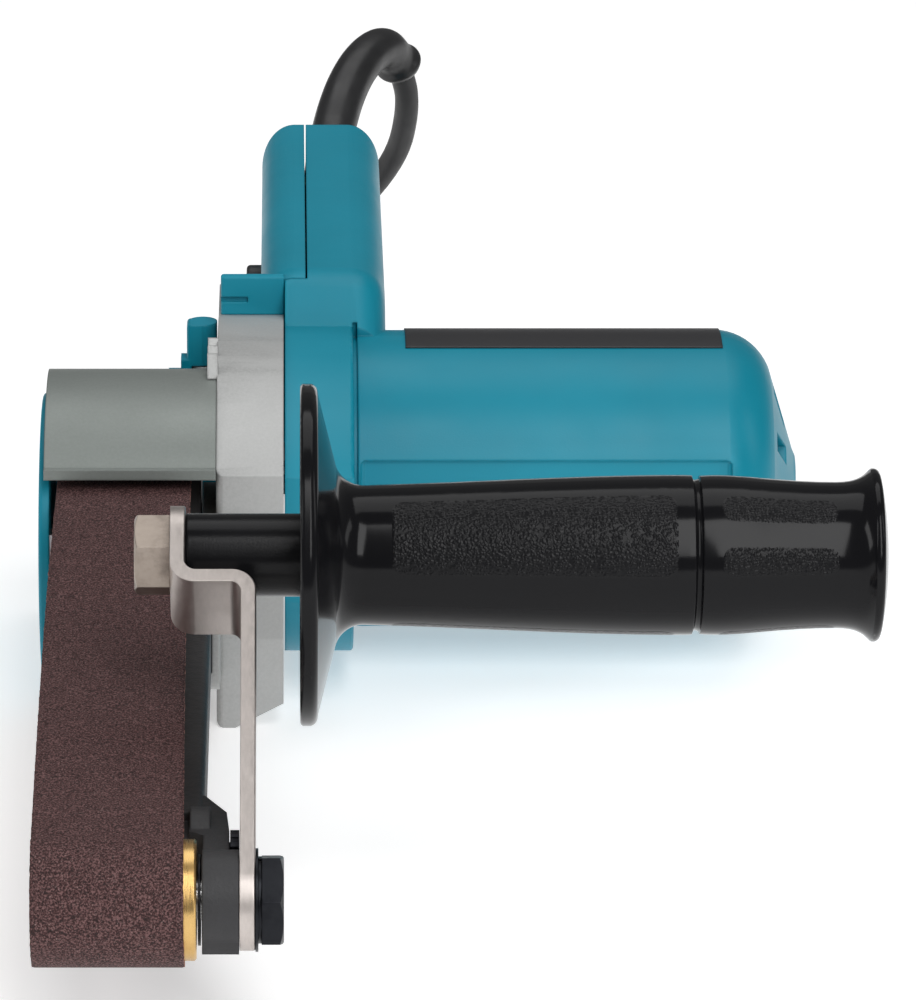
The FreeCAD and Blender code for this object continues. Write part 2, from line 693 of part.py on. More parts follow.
def handle_hollow():
    """Everything that is cut from both halves of the handle."""
    room = outline_x([(66.0, 22.0), (66.0, 48.5), (149.0, 51.0), (145.0, 19.0), (118.0, 17.5),
                      (118.0, 22.0)], HANDLE_X0 + HANDLE_WALL, HANDLE_X1 - HANDLE_WALL)
    mouth = box(TRIGGER_X0 - 0.5, TRIGGER_X1 + 0.5, 77.5, 115.0, -5.0, 23.0)
    exit_run = SLEEVE_ROUTE[1].sub(SLEEVE_ROUTE[0])
    exit_hole = Part.makeCylinder(GUARD_SLEEVE_R + 0.05, 40.0, SLEEVE_ROUTE[0], exit_run)
    slot = rod(DIAL_R + 0.8, DIAL_X0 - 0.4, DIAL_X1 + 0.4, DIAL_Y, DIAL_Z)
    button = rod(LOCK_R + 0.1, HANDLE_X0 - 5, 5, LOCK_Y, LOCK_Z)
    pin = rod(TRIGGER_PIN_R, 1.0, 17.2, *TRIGGER_PIVOT)
    return [room, mouth, exit_hole, slot, button, pin]


def motor_housing():
    """Barrel with domed vented end, flange, neck and the right half of the handle."""
    end_x = BARREL_X1
    y, z = MOTOR_Y, MOTOR_Z
    x_room = FLANGE_X0
    profile = [
        line_edge(Vec(x_room, y, z), Vec(x_room, y, z + BARREL_R)),
        line_edge(Vec(x_room, y, z + BARREL_R), Vec(101.5, y, z + BARREL_R)),
        arc_edge(Vec(101.5, y, z + BARREL_R), Vec(108.4, y, z + 31.6), Vec(112.3, y, z + 26.5)),
        line_edge(Vec(112.3, y, z + 26.5), Vec(118.2, y, z + 7.0)),
        line_edge(Vec(118.2, y, z + 7.0), Vec(end_x, y, z + 5.6)),
        line_edge(Vec(end_x, y, z + 5.6), Vec(end_x, y, z)),
        line_edge(Vec(end_x, y, z), Vec(x_room, y, z))]
    barrel = Part.Face(Part.Wire(profile)).revolve(Vec(0, y, z), AXIS_X, 360)
    for y0, y1 in ((y - 60, y - SIDE_FLAT), (y + SIDE_FLAT, y + 60)):
        panel = box(17.4, 102.0, y0, y1, z - FLAT_HALF, z + FLAT_HALF)
        barrel = barrel.cut(rounded(panel, 1.2, lambda e: True))
    flange = mixed_outline_x([
        [(-28.4, -5.0), (-28.4, 24.6)],
        [(-28.4, 24.6), (4.0, 40.0), (38.0, 41.0)],
        [(38.0, 41.0), (58.0, 41.0)],
        [(58.0, 41.0), (y + FLANGE_R, z)],
        [(y + FLANGE_R, z), (y + 25.6, z - 25.6), (y, z - FLANGE_R)],
        [(y, z - FLANGE_R), (-3.0, -25.8)],
        [(-3.0, -25.8), (-19.6, -17.2), (-28.4, -5.0)]], FLANGE_X0, BARREL_X0)
    flange = rounded(flange, 0.8, lambda e: abs(middle(e).x - BARREL_X0) < 0.01)
    body = barrel.fuse(flange)
    right = whole_handle().common(
        box(SEAM_X + SEAM_GAP, 40, 0, 170, -20, 80).fuse([
            box(FLANGE_X0, SEAM_X + SEAM_GAP, 0, BLOCK_Y1 - 0.3, -20, BLOCK_Z - 0.2),
            box(FLANGE_X0, SEAM_X + SEAM_GAP, 0, TOWER_REAR, -20, 80)]))
    body = body.fuse(right)
    for x in (20.0, 98.0):
        body = body.fuse(rest_rib(x))
    body = body.cut(motor_hollow())
    body = body.cut(handle_hollow())
    body = body.fuse(bearing_seat())
    for k in range(9):
        angle = 40 * k + 10
        slot = box(100.0, 125.0, -2.3, 2.3, 14.5, 23.5)
        slot.rotate(Vec(0, 0, 0), AXIS_X, angle)
        slot.translate(Vec(0, y, z))
        body = body.cut(slot)
    for side in (-1, 1):
        a, b = sorted((y + side * 20, y + side * 40))
        body = body.cut(rod_y(6.6, a, b, BRUSH_X, z))
    ring_groove = m_ring(BARREL_R + 3, BARREL_R - 0.9, BARREL_X0, BARREL_X0 + 1.1)
    body = body.cut(ring_groove.cut(box(0, 40, 30, 90, -10, 80)))
    return one_solid(body)


def rest_rib(x):
    """Low moulded rib under the barrel, level with the housing's chin."""
    rib = box(x, x + 5.0, MOTOR_Y + 6, MOTOR_Y + 24, CHIN_Z, MOTOR_Z - 22)
    return rounded(rib, 1.5, lambda e: middle(e).z < CHIN_Z + 0.01)


def motor_hollow():
    """Space for motor, fan and gearing, with the bearing plate's pocket."""
    tube = between_flats(m_rod(BARREL_R - BARREL_WALL, 9.4, 104.0), SIDE_FLAT - BARREL_WALL)
    dome = between_flats(m_rod(24.0, 103.0, 111.0), SIDE_FLAT - BARREL_WALL)
    pocket = rod(13.0, -5, 9.6).fuse(m_rod(20.0, -5, 9.6))
    return [tube, dome, pocket]


def bearing_seat():
    """Ring that holds the motor's rear bearing, on four posts to the domed end."""
    seat = m_ring(12.4, 9.5, 97.0, 104.0)
    for k in range(4):
        post = box(103.0, 112.0, -2.0, 2.0, 9.8, 13.5)
        post.rotate(Vec(0, 0, 0), AXIS_X, 90 * k + 45)
        post.translate(Vec(0, MOTOR_Y, MOTOR_Z))
        seat = seat.fuse(post)
    return seat


def bearing_plate():
    """Aluminium plate between gearing and motor that holds two bearings."""
    plate = rod(13.0, 0.4, 9.4).fuse(m_rod(20.0, 0.4, 9.4))
    plate = plate.cut(rod(8.5, -1, 6.9)).cut(rod(6.0, -1, 8.4))
    plate = plate.cut(m_rod(11.0, 2.4, 10)).cut(m_rod(7.0, -1, 3))
    return one_solid(plate)


def handle_cover():
    """Left half of the handle with the block that sits on the gear housing."""
    left = whole_handle().common(
        box(HANDLE_X0 - 1, SEAM_X - SEAM_GAP, BLOCK_Y1 - 0.2, 170, -20, 80).fuse(
            box(HANDLE_X0 - 1, SEAM_X - SEAM_GAP, TOWER_REAR + 0.25, BLOCK_Y1, BLOCK_Z + 0.05, 80)))
    block = outline_x([(BLOCK_Y0, BLOCK_Z + 0.05), (BLOCK_Y0, BLOCK_TOP - 0.8),
                       (BLOCK_Y0 + 0.9, BLOCK_TOP), (BLOCK_Y1, BLOCK_Z + 1.0),
                       (BLOCK_Y1, BLOCK_Z + 0.05)], -14.7, 0.0)
    block = rounded(block, 0.7, lambda e: middle(e).x < -14.6 and middle(e).z > BLOCK_Z + 2)
    notch = box(-20, -8.4, BLOCK_Y0 - 1, BLOCK_Y0 + 0.9, 44.3, 45.5)
    left = left.fuse(block.cut(notch))
    left = left.cut(handle_hollow())
    for y, z in HANDLE_SCREWS:
        left = left.cut(rod(2.0, -20, 30, y, z)).cut(rod(3.6, -20, HANDLE_X0 + 2.0, y, z))
    return one_solid(left)


HANDLE_SCREWS = ((71.0, 15.5), (149.6, 30.0), (119.6, 15.0))


def handle_screws():
    """Three pan-head screws that hold the two halves of the handle."""
    screws = []
    for y, z in HANDLE_SCREWS:
        head = rod(3.4, HANDLE_X0 + 0.3, HANDLE_X0 + 2.0, y, z)
        head = head.cut(box(HANDLE_X0 - 1, HANDLE_X0 + 1.0, y - 2.2, y + 2.2, z - 0.5, z + 0.5))
        head = head.cut(box(HANDLE_X0 - 1, HANDLE_X0 + 1.0, y - 0.5, y + 0.5, z - 2.2, z + 2.2))
        screws.append(one_solid(head.fuse(rod(1.9, HANDLE_X0 + 1.9, SEAM_X - 0.2, y, z))))
    return screws


def housing_screws():
    """Socket screws from the gear housing's left face."""
    screws = []
    for y, z in HOUSING_SCREWS:
        head = rod(3.5, HOUSING_X0 + 0.2, HOUSING_X0 + 3.4, y, z)
        head = head.cut(hexagon(3.0, HOUSING_X0 - 1, HOUSING_X0 + 2.2, y, z))
        screws.append(one_solid(head.fuse(rod(1.9, HOUSING_X0 + 3.3, HOUSING_X1, y, z))))
    return screws


def name_plate():
    """Blank plate on top of the barrel, curved with it."""
    plate = m_ring(BARREL_R + 0.4, BARREL_R, 28.0, 101.0)
    wedge = [(MOTOR_Y, MOTOR_Z)]
    for angle in (101, 77, 54):
        dy, dz = polar(60, angle)
        wedge.append((MOTOR_Y + dy, MOTOR_Z + dz))
    return one_solid(plate.common(outline_x(wedge, 20, 110)))


# ---------------------------------------------------------------- belt arm and what it carries
def belt_arm():
    """Cast arm: sliding bar with the spring's bore, neck, head boss and a small round boss."""
    bar = box(ARM_X0, ARM_X1, -182.0, ARM_REAR, ARM_Z0, ARM_Z1)
    bar = rounded(bar, 1.5, lambda e: abs(middle(e).y + 113) < 1)
    neck = outline_z([(ARM_X1 - 3, -172.0), (ARM_X1, -172.0), (-11.5, -181.0), (-10.9, -191.0),
                      (-10.9, IDLER_Y + 4), (HEAD_X0, IDLER_Y + 4), (HEAD_X0, -193.0),
                      (ARM_X1 - 3, -191.0)], ARM_Z0 + 0.4, ARM_Z1 - 0.4)
    neck = rounded(neck, 1.5, lambda e: middle(e).x > -14 and abs(middle(e).z) < 2)
    nose = box(ARM_X0 + 4, ARM_X1, -191.0, -180.0, -6.0, 5.0)
    head = rod(9.9, HEAD_X0, HEAD_X1, IDLER_Y, 0)
    foot = box(HEAD_X0, HEAD_X1, IDLER_Y - 8.0, IDLER_Y + 6.0, -8.2, 0)
    bump = rod(6.0, -18.8, -14.8, -185.0, 3.0)
    web = outline_x([(-76.0, ARM_Z1 - 0.5), (-172.0, ARM_Z1 - 0.5), (-160.0, 10.0),
                     (-90.0, 12.0)], -26.0, -22.0)
    arm = bar.fuse([neck, nose, head, foot, bump, web])
    arm = arm.cut(rod(AXLE_R, -20, -13.6, IDLER_Y, 0)).cut(rod(5.0, -13.2, 0, IDLER_Y, 0))
    arm = arm.cut(rod_y(SPRING_R + 0.6, -84.0, ARM_REAR + 1, SPRING_X, SPRING_Z))
    arm = arm.cut(rod(2.0, -15.8, 0, KNOB_Y, KNOB_Z))
    return one_solid(arm)


KNOB_Y = -194.5
KNOB_Z = 3.6


def tracking_knob():
    """Small knurled screw at the arm's head that trims where the belt runs."""
    knob = rod(4.4, -10.7, -8.9, KNOB_Y, KNOB_Z)
    for k in range(12):
        dy, dz = polar(4.5, 30 * k)
        knob = knob.cut(rod(0.4, -12, -5, KNOB_Y + dy, KNOB_Z + dz))
    knob = knob.cut(box(-9.4, -8, KNOB_Y - 3, KNOB_Y + 3, KNOB_Z - 0.5, KNOB_Z + 0.5))
    return one_solid(knob.fuse(rod(2.0 - SHAFT_GAP, -15.6, -10.7, KNOB_Y, KNOB_Z)))


def arm_spring():
    """Compression spring between the channel's rear wall and the bore in the arm."""
    wire_r = 0.8
    length = -28.7 - (-84.0)
    rings = 9
    pitch = (length - 2 * wire_r) / (rings - 1)
    coils = []
    for k in range(rings):
        y = -84.0 + wire_r + k * pitch
        coils.append(Part.makeTorus(SPRING_R - wire_r, wire_r, Vec(SPRING_X, y, SPRING_Z), AXIS_Y))
    spine = rod_y(SPRING_R - wire_r + 0.3, -84.0 + wire_r, -28.7 - wire_r, SPRING_X, SPRING_Z).cut(
        rod_y(SPRING_R - wire_r - 0.3, -90, -20, SPRING_X, SPRING_Z))
    return one_solid(spine.fuse(coils))


def belt_low(y):
    """Height of the inside of the belt's lower run."""
    share = (y - IDLER_Y) / CENTRES
    return -(IDLER_R + BELT_GAP + share * (DRIVE_R - IDLER_R))


PLATEN_FRONT = -176.0
PLATEN_REAR = -72.0


def sloped_plate(low, high, y0, y1, x0, x1):
    """Plate parallel to the belt's lower run, between two heights above it."""
    return outline_x([(y0, belt_low(y0) + low), (y1, belt_low(y1) + low),
                      (y1, belt_low(y1) + high), (y0, belt_low(y0) + high)], x0, x1)


def platen():
    """Steel shoe above the lower run, on two feet under the arm."""
    shoe = sloped_plate(1.2, 2.6, PLATEN_FRONT, PLATEN_REAR, -49.0, -21.0)
    for y0 in (-160.0, -98.0):
        foot = box(-30.0, -18.5, y0, y0 + 12.0, belt_low(y0 + 12) + 2.0, ARM_Z0)
        shoe = shoe.fuse(foot)
        shoe = shoe.cut(rod_z(1.6, -25, ARM_Z0 + 1, -24.0, y0 + 6.0))
    return one_solid(shoe)


def platen_pad():
    return sloped_plate(0.3, 1.2, PLATEN_FRONT + 2, PLATEN_REAR - 2, -49.0, -21.0)


def platen_screws():
    return [rod_z(1.6, belt_low(y) + 1.4, ARM_Z0, -24.0, y) for y in (-154.0, -92.0)]


# ---------------------------------------------------------------- side grip on its bracket
STRAP_ANGLE = math.degrees(math.atan2(GRIP_Z, GRIP_Y - IDLER_Y))
STRAP_LENGTH = math.hypot(GRIP_Z, GRIP_Y - IDLER_Y)
STEP_FROM_GRIP = 9.8


def along_strap(shape):
    """Turns a piece drawn with the strap along +Y from the idler's axis into place."""
    placed = shape.copy()
    placed.rotate(Vec(0, 0, 0), AXIS_X, STRAP_ANGLE)
    placed.translate(Vec(0, IDLER_Y, 0))
    return placed


def grip_bracket():
    """Steel strap with rounded ends, a hole at each end and a Z-shaped step near the grip."""
    t = STRAP_THICK
    low = STRAP_LOW_X
    high = STRAP_HIGH_X
    end_r = STRAP_WIDTH / 2
    step1 = STRAP_LENGTH - STEP_FROM_GRIP
    step0 = step1 - t
    flat = outline_z([(low, -end_r), (low + t, -end_r), (low + t, step1), (high + t, step1),
                      (high + t, STRAP_LENGTH + end_r), (high, STRAP_LENGTH + end_r),
                      (high, step0), (low, step0)], -end_r, end_r)

    def bend(x, y):
        return lambda e: abs(middle(e).x - x) < 0.01 and abs(middle(e).y - y) < 0.01

    for x, y, r in ((low + t, step1, 5.0), (low, step0, 2.2), (high + t, step1, 2.2),
                    (high, step0, 5.0)):
        flat = rounded(flat, r, bend(x, y))
    stadium = box(-40, 10, 0, STRAP_LENGTH, -end_r, end_r)
    stadium = stadium.fuse(rod(end_r, -40, 10)).fuse(rod(end_r, -40, 10, STRAP_LENGTH, 0))
    strap = flat.common(stadium)
    strap = strap.cut(rod(5.1, low - 1, low + t + 1)).cut(
        rod(4.2, high - 1, high + t + 1, STRAP_LENGTH, 0))
    strap = one_solid(strap)
    strap = rounded(strap, 0.4, lambda e: abs(middle(e).x - low - t) < 0.01 and middle(e).y < 60
                    and e.BoundBox.ZLength > 9.99)
    return along_strap(strap)


def bracket_bolt():
    """M10 hex bolt in the arm's head; its thread ends in the boss."""
    head = bolt_head(17.0, -4.4, 0.0, IDLER_Y, 0, 40.6, "right")
    shank = turned([(-13.0, 0), (-13.0, 4.2), (-12.3, 4.95), (-4.4, 4.95), (-4.4, 0)], IDLER_Y, 0)
    return one_solid(head.fuse(shank))


def bolt_washers():
    """Flat washer and split spring washer under the bolt's head."""
    flat = ring(10.2, 4.97, -5.6, -5.05, IDLER_Y, 0)
    spring = ring(8.6, 4.97, -5.05, -4.4, IDLER_Y, 0)
    split = box(-6, -4, IDLER_Y - 0.6, IDLER_Y + 0.6, 4, 12)
    return [flat, one_solid(spring.cut(split))]


GRIP_BOLT_R = 4.1


def grip_bolt():
    """Hex bolt through the strap and the spacer into the grip's insert."""
    head = bolt_head(15.0, -30.5, STRAP_HIGH_X, GRIP_Y, GRIP_Z, 30, "left")
    shank = turned([(STRAP_HIGH_X, 0), (STRAP_HIGH_X, GRIP_BOLT_R), (37.0, GRIP_BOLT_R),
                    (38.0, 3.2), (38.0, 0)], GRIP_Y, GRIP_Z)
    return one_solid(head.fuse(shank))


def spacer_tube():
    x0 = STRAP_HIGH_X + STRAP_THICK
    tube = ring(8.5, GRIP_BOLT_R + 0.1, x0, 8.0, GRIP_Y, GRIP_Z)
    return rounded(tube, 0.5, lambda e: middle(e).x < x0 + 0.01 and e.BoundBox.ZLength > 16)


def grip_insert():
    """Threaded steel insert moulded into the grip."""
    return ring(7.0, GRIP_BOLT_R, 8.0, 44.0, GRIP_Y, GRIP_Z)


def side_grip():
    """Moulded grip: ribbed hollow flange, waist, swelling, groove, taper and flared domed end."""
    y, z = GRIP_Y, GRIP_Z
    fx = GRIP_FLANGE_X

    def p(x, r):
        return Vec(x, y, z + r)

    edges = [
        line_edge(p(fx, 0), p(fx, GRIP_FLANGE_R - 0.8)),
        arc_edge(p(fx, GRIP_FLANGE_R - 0.8), p(fx + 0.23, GRIP_FLANGE_R - 0.23),
                 p(fx + 0.8, GRIP_FLANGE_R)),
        line_edge(p(fx + 0.8, GRIP_FLANGE_R), p(fx + 2.0, GRIP_FLANGE_R)),
        arc_edge(p(fx + 2.0, GRIP_FLANGE_R), p(fx + 3.1, GRIP_FLANGE_R - 0.55),
                 p(fx + 3.6, GRIP_FLANGE_R - 2.0)),
        line_edge(p(fx + 3.6, GRIP_FLANGE_R - 2.0), p(fx + 7.3, 18.2)),
        arc_edge(p(fx + 7.3, 18.2), p(fx + 9.4, 15.4), p(fx + 13.5, 14.3))]
    grow = Part.BSplineCurve()
    grow.interpolate([p(fx + 13.5, 14.3), p(34, 14.9), p(58, 15.9), p(82, 16.35)])
    edges.append(grow.toShape())
    edges.append(line_edge(p(82, 16.35), p(83.2, 16.3)))
    edges.append(arc_edge(p(83.2, 16.3), p(84.0, 15.4), p(84.8, 16.2)))
    taper = Part.BSplineCurve()
    taper.interpolate([p(84.8, 16.2), p(98, 15.7), p(112, 14.95), p(117, 15.6), p(119.6, 17.5)])
    edges.append(taper.toShape())
    edges.append(arc_edge(p(119.6, 17.5), p(120.9, 17.6), p(121.5, 16.6)))
    edges.append(arc_edge(p(121.5, 16.6), p(122.7, 9.0), p(GRIP_END_X, 2.0)))
    edges.append(line_edge(p(GRIP_END_X, 2.0), p(GRIP_END_X, 0)))
    edges.append(line_edge(p(GRIP_END_X, 0), p(fx, 0)))
    grip = Part.Face(Part.Wire(edges)).revolve(Vec(0, y, z), AXIS_X, 360)
    dish = turned([(fx - 1, 10.0), (fx - 1, 32.6), (fx + 1.4, 32.6), (fx + 2.6, 27.0),
                   (fx + 5.4, 18.5), (fx + 6.4, 10.0)], y, z)
    for k in range(8):
        rib = box(fx, fx + 8, -0.8, 0.8, 9, 34)
        rib.rotate(Vec(0, 0, 0), AXIS_X, 45 * k)
        rib.translate(Vec(0, y, z))
        dish = dish.cut(rib)
    grip = grip.cut(dish)
    grip = grip.cut(rod(8.5, 0, 8.0, y, z)).cut(rod(7.0, 0, 44.0, y, z))
    return one_solid(grip)


# ---------------------------------------------------------------- switch gear in the handle
def trigger():
    """Finger lever that turns about a pin at its front end."""
    lever = outline_x([(78.6, 13.0), (78.6, 20.8), (110.5, 20.8), (113.2, 11.5), (109.5, 3.5),
                       (99.0, 5.6), (88.0, 4.2), (82.5, 7.5)], TRIGGER_X0, TRIGGER_X1)
    lever = rounded(lever, 1.6, lambda e: middle(e).z < 8 and not along_x(e))
    return one_solid(lever.cut(rod(TRIGGER_PIN_R + SHAFT_GAP, 0, 20, *TRIGGER_PIVOT)))


def trigger_pin():
    return rod(TRIGGER_PIN_R, 1.0, 17.2, *TRIGGER_PIVOT)


def switch_body():
    """Switch block above the trigger, with its plunger housing and two terminals."""
    block = box(1.5, 17.0, 84.0, 116.0, 26.5, 46.0)
    block = rounded(block, 1.0, lambda e: True)
    for y in (90.0, 108.0):
        block = block.fuse(box(5.0, 13.0, y, y + 3.0, 45.0, 48.0))
    return one_solid(block.cut(rod(LOCK_R + 0.6, -5, 6.0, LOCK_Y, LOCK_Z)))


def lock_button():
    """Round button that holds the trigger in; it slides along X."""
    button = rod(LOCK_R, HANDLE_X0 - 3.6, 1.6, LOCK_Y, LOCK_Z)
    return rounded(button, 1.0, lambda e: middle(e).x < HANDLE_X0)


def speed_dial():
    """Thumb wheel with twenty-four grooves, its rim standing out of the handle's underside."""
    dial = rod(DIAL_R, DIAL_X0, DIAL_X1, DIAL_Y, DIAL_Z)
    for k in range(24):
        dy, dz = polar(DIAL_R + 0.4, 15 * k)
        dial = dial.cut(rod(0.8, DIAL_X0 - 1, DIAL_X1 + 1, DIAL_Y + dy, DIAL_Z + dz))
    return one_solid(dial.cut(rod(1.5 + SHAFT_GAP, 0, 20, DIAL_Y, DIAL_Z)))


def dial_pin():
    return rod(1.5, 4.0, 15.0, DIAL_Y, DIAL_Z)


def control_board():
    """Speed control board with three blocks on it."""
    board = box(-1.0, 0.6, 118.5, 133.0, 29.0, 49.0)
    for z, size in ((30.0, 6.0), (37.0, 4.5), (42.0, 6.5)):
        board = board.fuse(box(0.5, 0.5 + size, 122.0, 122.0 + size, z, z + size))
    return one_solid(board)


def cord_clamp():
    """Moulded clamp that holds the cord behind the sleeve's collar."""
    clamp = box(SLEEVE_X - 7.5, SLEEVE_X + 7.5, 134.0, 139.0, SLEEVE_Z - 5.5, SLEEVE_Z + 5.5)
    return one_solid(clamp.cut(rod_y(CORD_R, 130, 145, SLEEVE_X, SLEEVE_Z)))


# ---------------------------------------------------------------- cord
LEAD_ROUTE = [Vec(29.5, 209.8, 55.0), Vec(33.4, 215.7, 41.0), Vec(29.3, 226.3, 23.3),
              Vec(12.2, 232.0, 3.5), Vec(5.9, 225.3, -17.3), Vec(4.5, 206.8, -30.4),
              Vec(9.3, 184.5, -30.4), Vec(26.9, 170.0, -30.4), Vec(50.0, 169.5, -30.4),
              Vec(66.0, 168.4, -30.4)]
TAIL_ROUTE = [Vec(52.0, 80.2, -20.5), Vec(32.0, 81.0, -20.5), Vec(15.0, 90.0, -20.5),
              Vec(6.0, 106.0, -20.5), Vec(2.0, 121.9, -20.5)]
COIL_OUT_R = COIL_MEAN_R + 2 * COIL_TURNS_WIDE * CORD_R / 2
COIL_IN_R = COIL_MEAN_R - 2 * COIL_TURNS_WIDE * CORD_R / 2


def routed_path(points, name):
    """Straight runs joined by tangent arcs as large as the runs allow; prints the arcs' radii."""
    edges = []
    radii = []
    start = points[0]
    for before, corner, after in zip(points, points[1:], points[2:]):
        first = corner.sub(before)
        second = after.sub(corner)
        shorter = min(first.Length, second.Length)
        half_turn = first.getAngle(second) / 2
        reach = 0.45 * shorter
        radius = reach / math.tan(half_turn)
        radii.append(round(radius, 1))
        u = Vec(first).normalize()
        v = Vec(second).normalize()
        begin = corner.sub(Vec(u).multiply(reach))
        finish = corner.add(Vec(v).multiply(reach))
        inward = Vec(v).sub(u).normalize()
        to_centre = radius / math.cos(half_turn)
        midway = corner.add(Vec(inward).multiply(to_centre - radius))
        edges.append(line_edge(start, begin))
        edges.append(arc_edge(begin, midway, finish))
        start = finish
    edges.append(line_edge(start, points[-1]))
    print(name, "radii", radii)
    return Part.Wire(edges)


def tube_along(points, radius, name):
    """Round bar along a route; its volume is compared with its section times its length."""
    path = routed_path(points, name)
    first = points[1].sub(points[0])
    circle = Part.Wire([Part.makeCircle(radius, points[0], first)])
    tube = path.makePipeShell([circle], True, False)
    ratio = tube.Volume / (math.pi * radius ** 2 * path.Length)
    print(name, "length", round(path.Length, 1), "volume ratio", round(ratio, 4))
    return tube


def cord_guard():
    """Rubber sleeve with a collar inside the handle and a rim at its end."""
    sleeve = tube_along(SLEEVE_ROUTE, GUARD_SLEEVE_R, "sleeve")
    sleeve = sleeve.Solids[0] if sleeve.Solids else Part.Solid(sleeve)
    collar = rod_y(8.0, 141.5, 144.5, SLEEVE_X, SLEEVE_Z)
    end = SLEEVE_ROUTE[-1]
    back = SLEEVE_ROUTE[-2].sub(end).normalize()
    rim = Part.makeCylinder(GUARD_SLEEVE_R + 0.7, 2.4, end, back)
    return one_solid(sleeve.fuse(collar).fuse(rim))


def cord_lead():
    tube = tube_along(LEAD_ROUTE, CORD_R, "lead")
    return tube.Solids[0]


def cord_tail():
    tube = tube_along(TAIL_ROUTE, CORD_R, "tail")
    return tube.Solids[0]


def cord_coil():
    """Outer shape of the coiled lead."""
    inner = Part.makeCylinder(COIL_IN_R, COIL_HEIGHT, Vec(COIL_X, COIL_Y, CHIN_Z))
    outer = Part.makeCylinder(COIL_OUT_R, COIL_HEIGHT, Vec(COIL_X, COIL_Y, CHIN_Z))
    return rounded(outer.cut(inner), CORD_R - 0.2, lambda e: True)


def cord_tie():
    """Strap round the coil's section, at the side away from the plug."""
    wall = 0.9
    y0, y1 = COIL_Y - 5.0, COIL_Y + 5.0
    x0 = COIL_X + COIL_IN_R
    x1 = COIL_X + COIL_OUT_R
    z1 = CHIN_Z + COIL_HEIGHT
    over = box(x0 - wall, x1 + wall, y0, y1, CHIN_Z, z1 + wall)
    over = rounded(over, 2.0, lambda e: middle(e).z > z1 + wall - 0.1 and abs(middle(e).y - COIL_Y) < 1)
    room = box(x0 - 0.05, x1 + 0.05, y0 - 1, y1 + 1, CHIN_Z + 0.4, z1 + 0.05)
    return one_solid(over.cut(room))


def mains_plug():
    """Two-pin plug: waisted body, cord neck and round pins, lying on the floor."""
    body_z = CHIN_Z + 13.0
    outline = [(-6.0, 0.0), (6.0, 0.0), (7.5, 10.0), (17.0, 22.0), (17.5, 42.0), (-17.5, 42.0),
               (-17.0, 22.0), (-7.5, 10.0)]
    body = outline_z(outline, -13.0, 13.0)
    body = body.common(outline_x([(0, -6.5), (10, -8), (22, -13), (42, -13), (42, 13), (22, 13),
                                  (10, 8), (0, 6.5)], -20, 20))
    body = rounded(body, 2.4, lambda e: middle(e).y > 5)
    for x in (-9.5, 9.5):
        pin = rod_y(2.4, 41.0, 61.0, x, 0)
        body = body.fuse(rounded(pin, 1.0, lambda e: middle(e).y > 60.9))
    body = one_solid(body)
    turn = math.degrees(math.atan2(-(TAIL_ROUTE[-1].x - TAIL_ROUTE[-2].x),
                                   TAIL_ROUTE[-1].y - TAIL_ROUTE[-2].y))
    body.rotate(Vec(0, 0, 0), AXIS_Z, turn)
    body.translate(Vec(TAIL_ROUTE[-1].x, TAIL_ROUTE[-1].y, body_z))
    return body


# ---------------------------------------------------------------- the nodes
holders, carbons, caps = brush_parts()
nodes = {
    "gear_housing": gear_housing(),
    "belt_guard": belt_guard(),
    "belt_cover": belt_cover(),
    "hinge_pin": hinge_pin(),
    "cover_catch": cover_catch(),
    "housing_screws": group(housing_screws()),
    "motor_housing": motor_housing(),
    "handle_cover": handle_cover(),
    "handle_screws": group(handle_screws()),
    "name_plate": name_plate(),
    "bearing_plate": bearing_plate(),
    "field_stator": field_stator(),
    "field_coils": group(field_coils()),
    "armature_shaft": armature_shaft(),
    "armature_core": armature_core(),
    "armature_windings": group(armature_windings()),
    "commutator": commutator(),
    "fan": fan(),
    "motor_bearings": group(motor_bearings()),
    "brush_holders": group(holders),
    "carbon_brushes": group(carbons),
    "brush_caps": group(caps),
    "drive_shaft": drive_shaft(),
    "drive_gear": drive_gear(),
    "shaft_bearings": group(shaft_bearings()),
    "drive_pulley": drive_pulley(),
    "pulley_tyre": pulley_tyre(),
    "pulley_nut": pulley_nut(),
    "sanding_belt": sanding_belt(),
    "belt_arm": belt_arm(),
    "arm_spring": arm_spring(),
    "tracking_knob": tracking_knob(),
    "platen": platen(),
    "platen_pad": platen_pad(),
    "platen_screws": group(platen_screws()),
    "idler_pulley": idler_pulley(),
    "idler_axle": idler_axle(),
    "idler_clip": idler_clip(),
    "idler_washer": idler_washer(),
    "grip_bracket": grip_bracket(),
    "bracket_bolt": bracket_bolt(),
    "bolt_washers": group(bolt_washers()),
    "grip_bolt": grip_bolt(),
    "spacer_tube": spacer_tube(),
    "grip_insert": grip_insert(),
    "side_grip": side_grip(),
    "trigger": trigger(),
    "trigger_pin": trigger_pin(),
    "switch_body": switch_body(),
    "lock_button": lock_button(),
    "speed_dial": speed_dial(),
    "dial_pin": dial_pin(),
    "control_board": control_board(),
    "cord_clamp": cord_clamp(),
    "cord_guard": cord_guard(),
    "cord_lead": cord_lead(),
    "cord_coil": cord_coil(),
    "cord_tail": cord_tail(),
    "cord_tie": cord_tie(),
    "mains_plug": mains_plug(),
}
for node_name, node_shape in nodes.items():
    write(node_name, node_shape)
print("nodes", len(nodes), "pulley centres", round(CENTRES, 2))
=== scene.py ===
import json
import math

import bpy
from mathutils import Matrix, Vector, noise


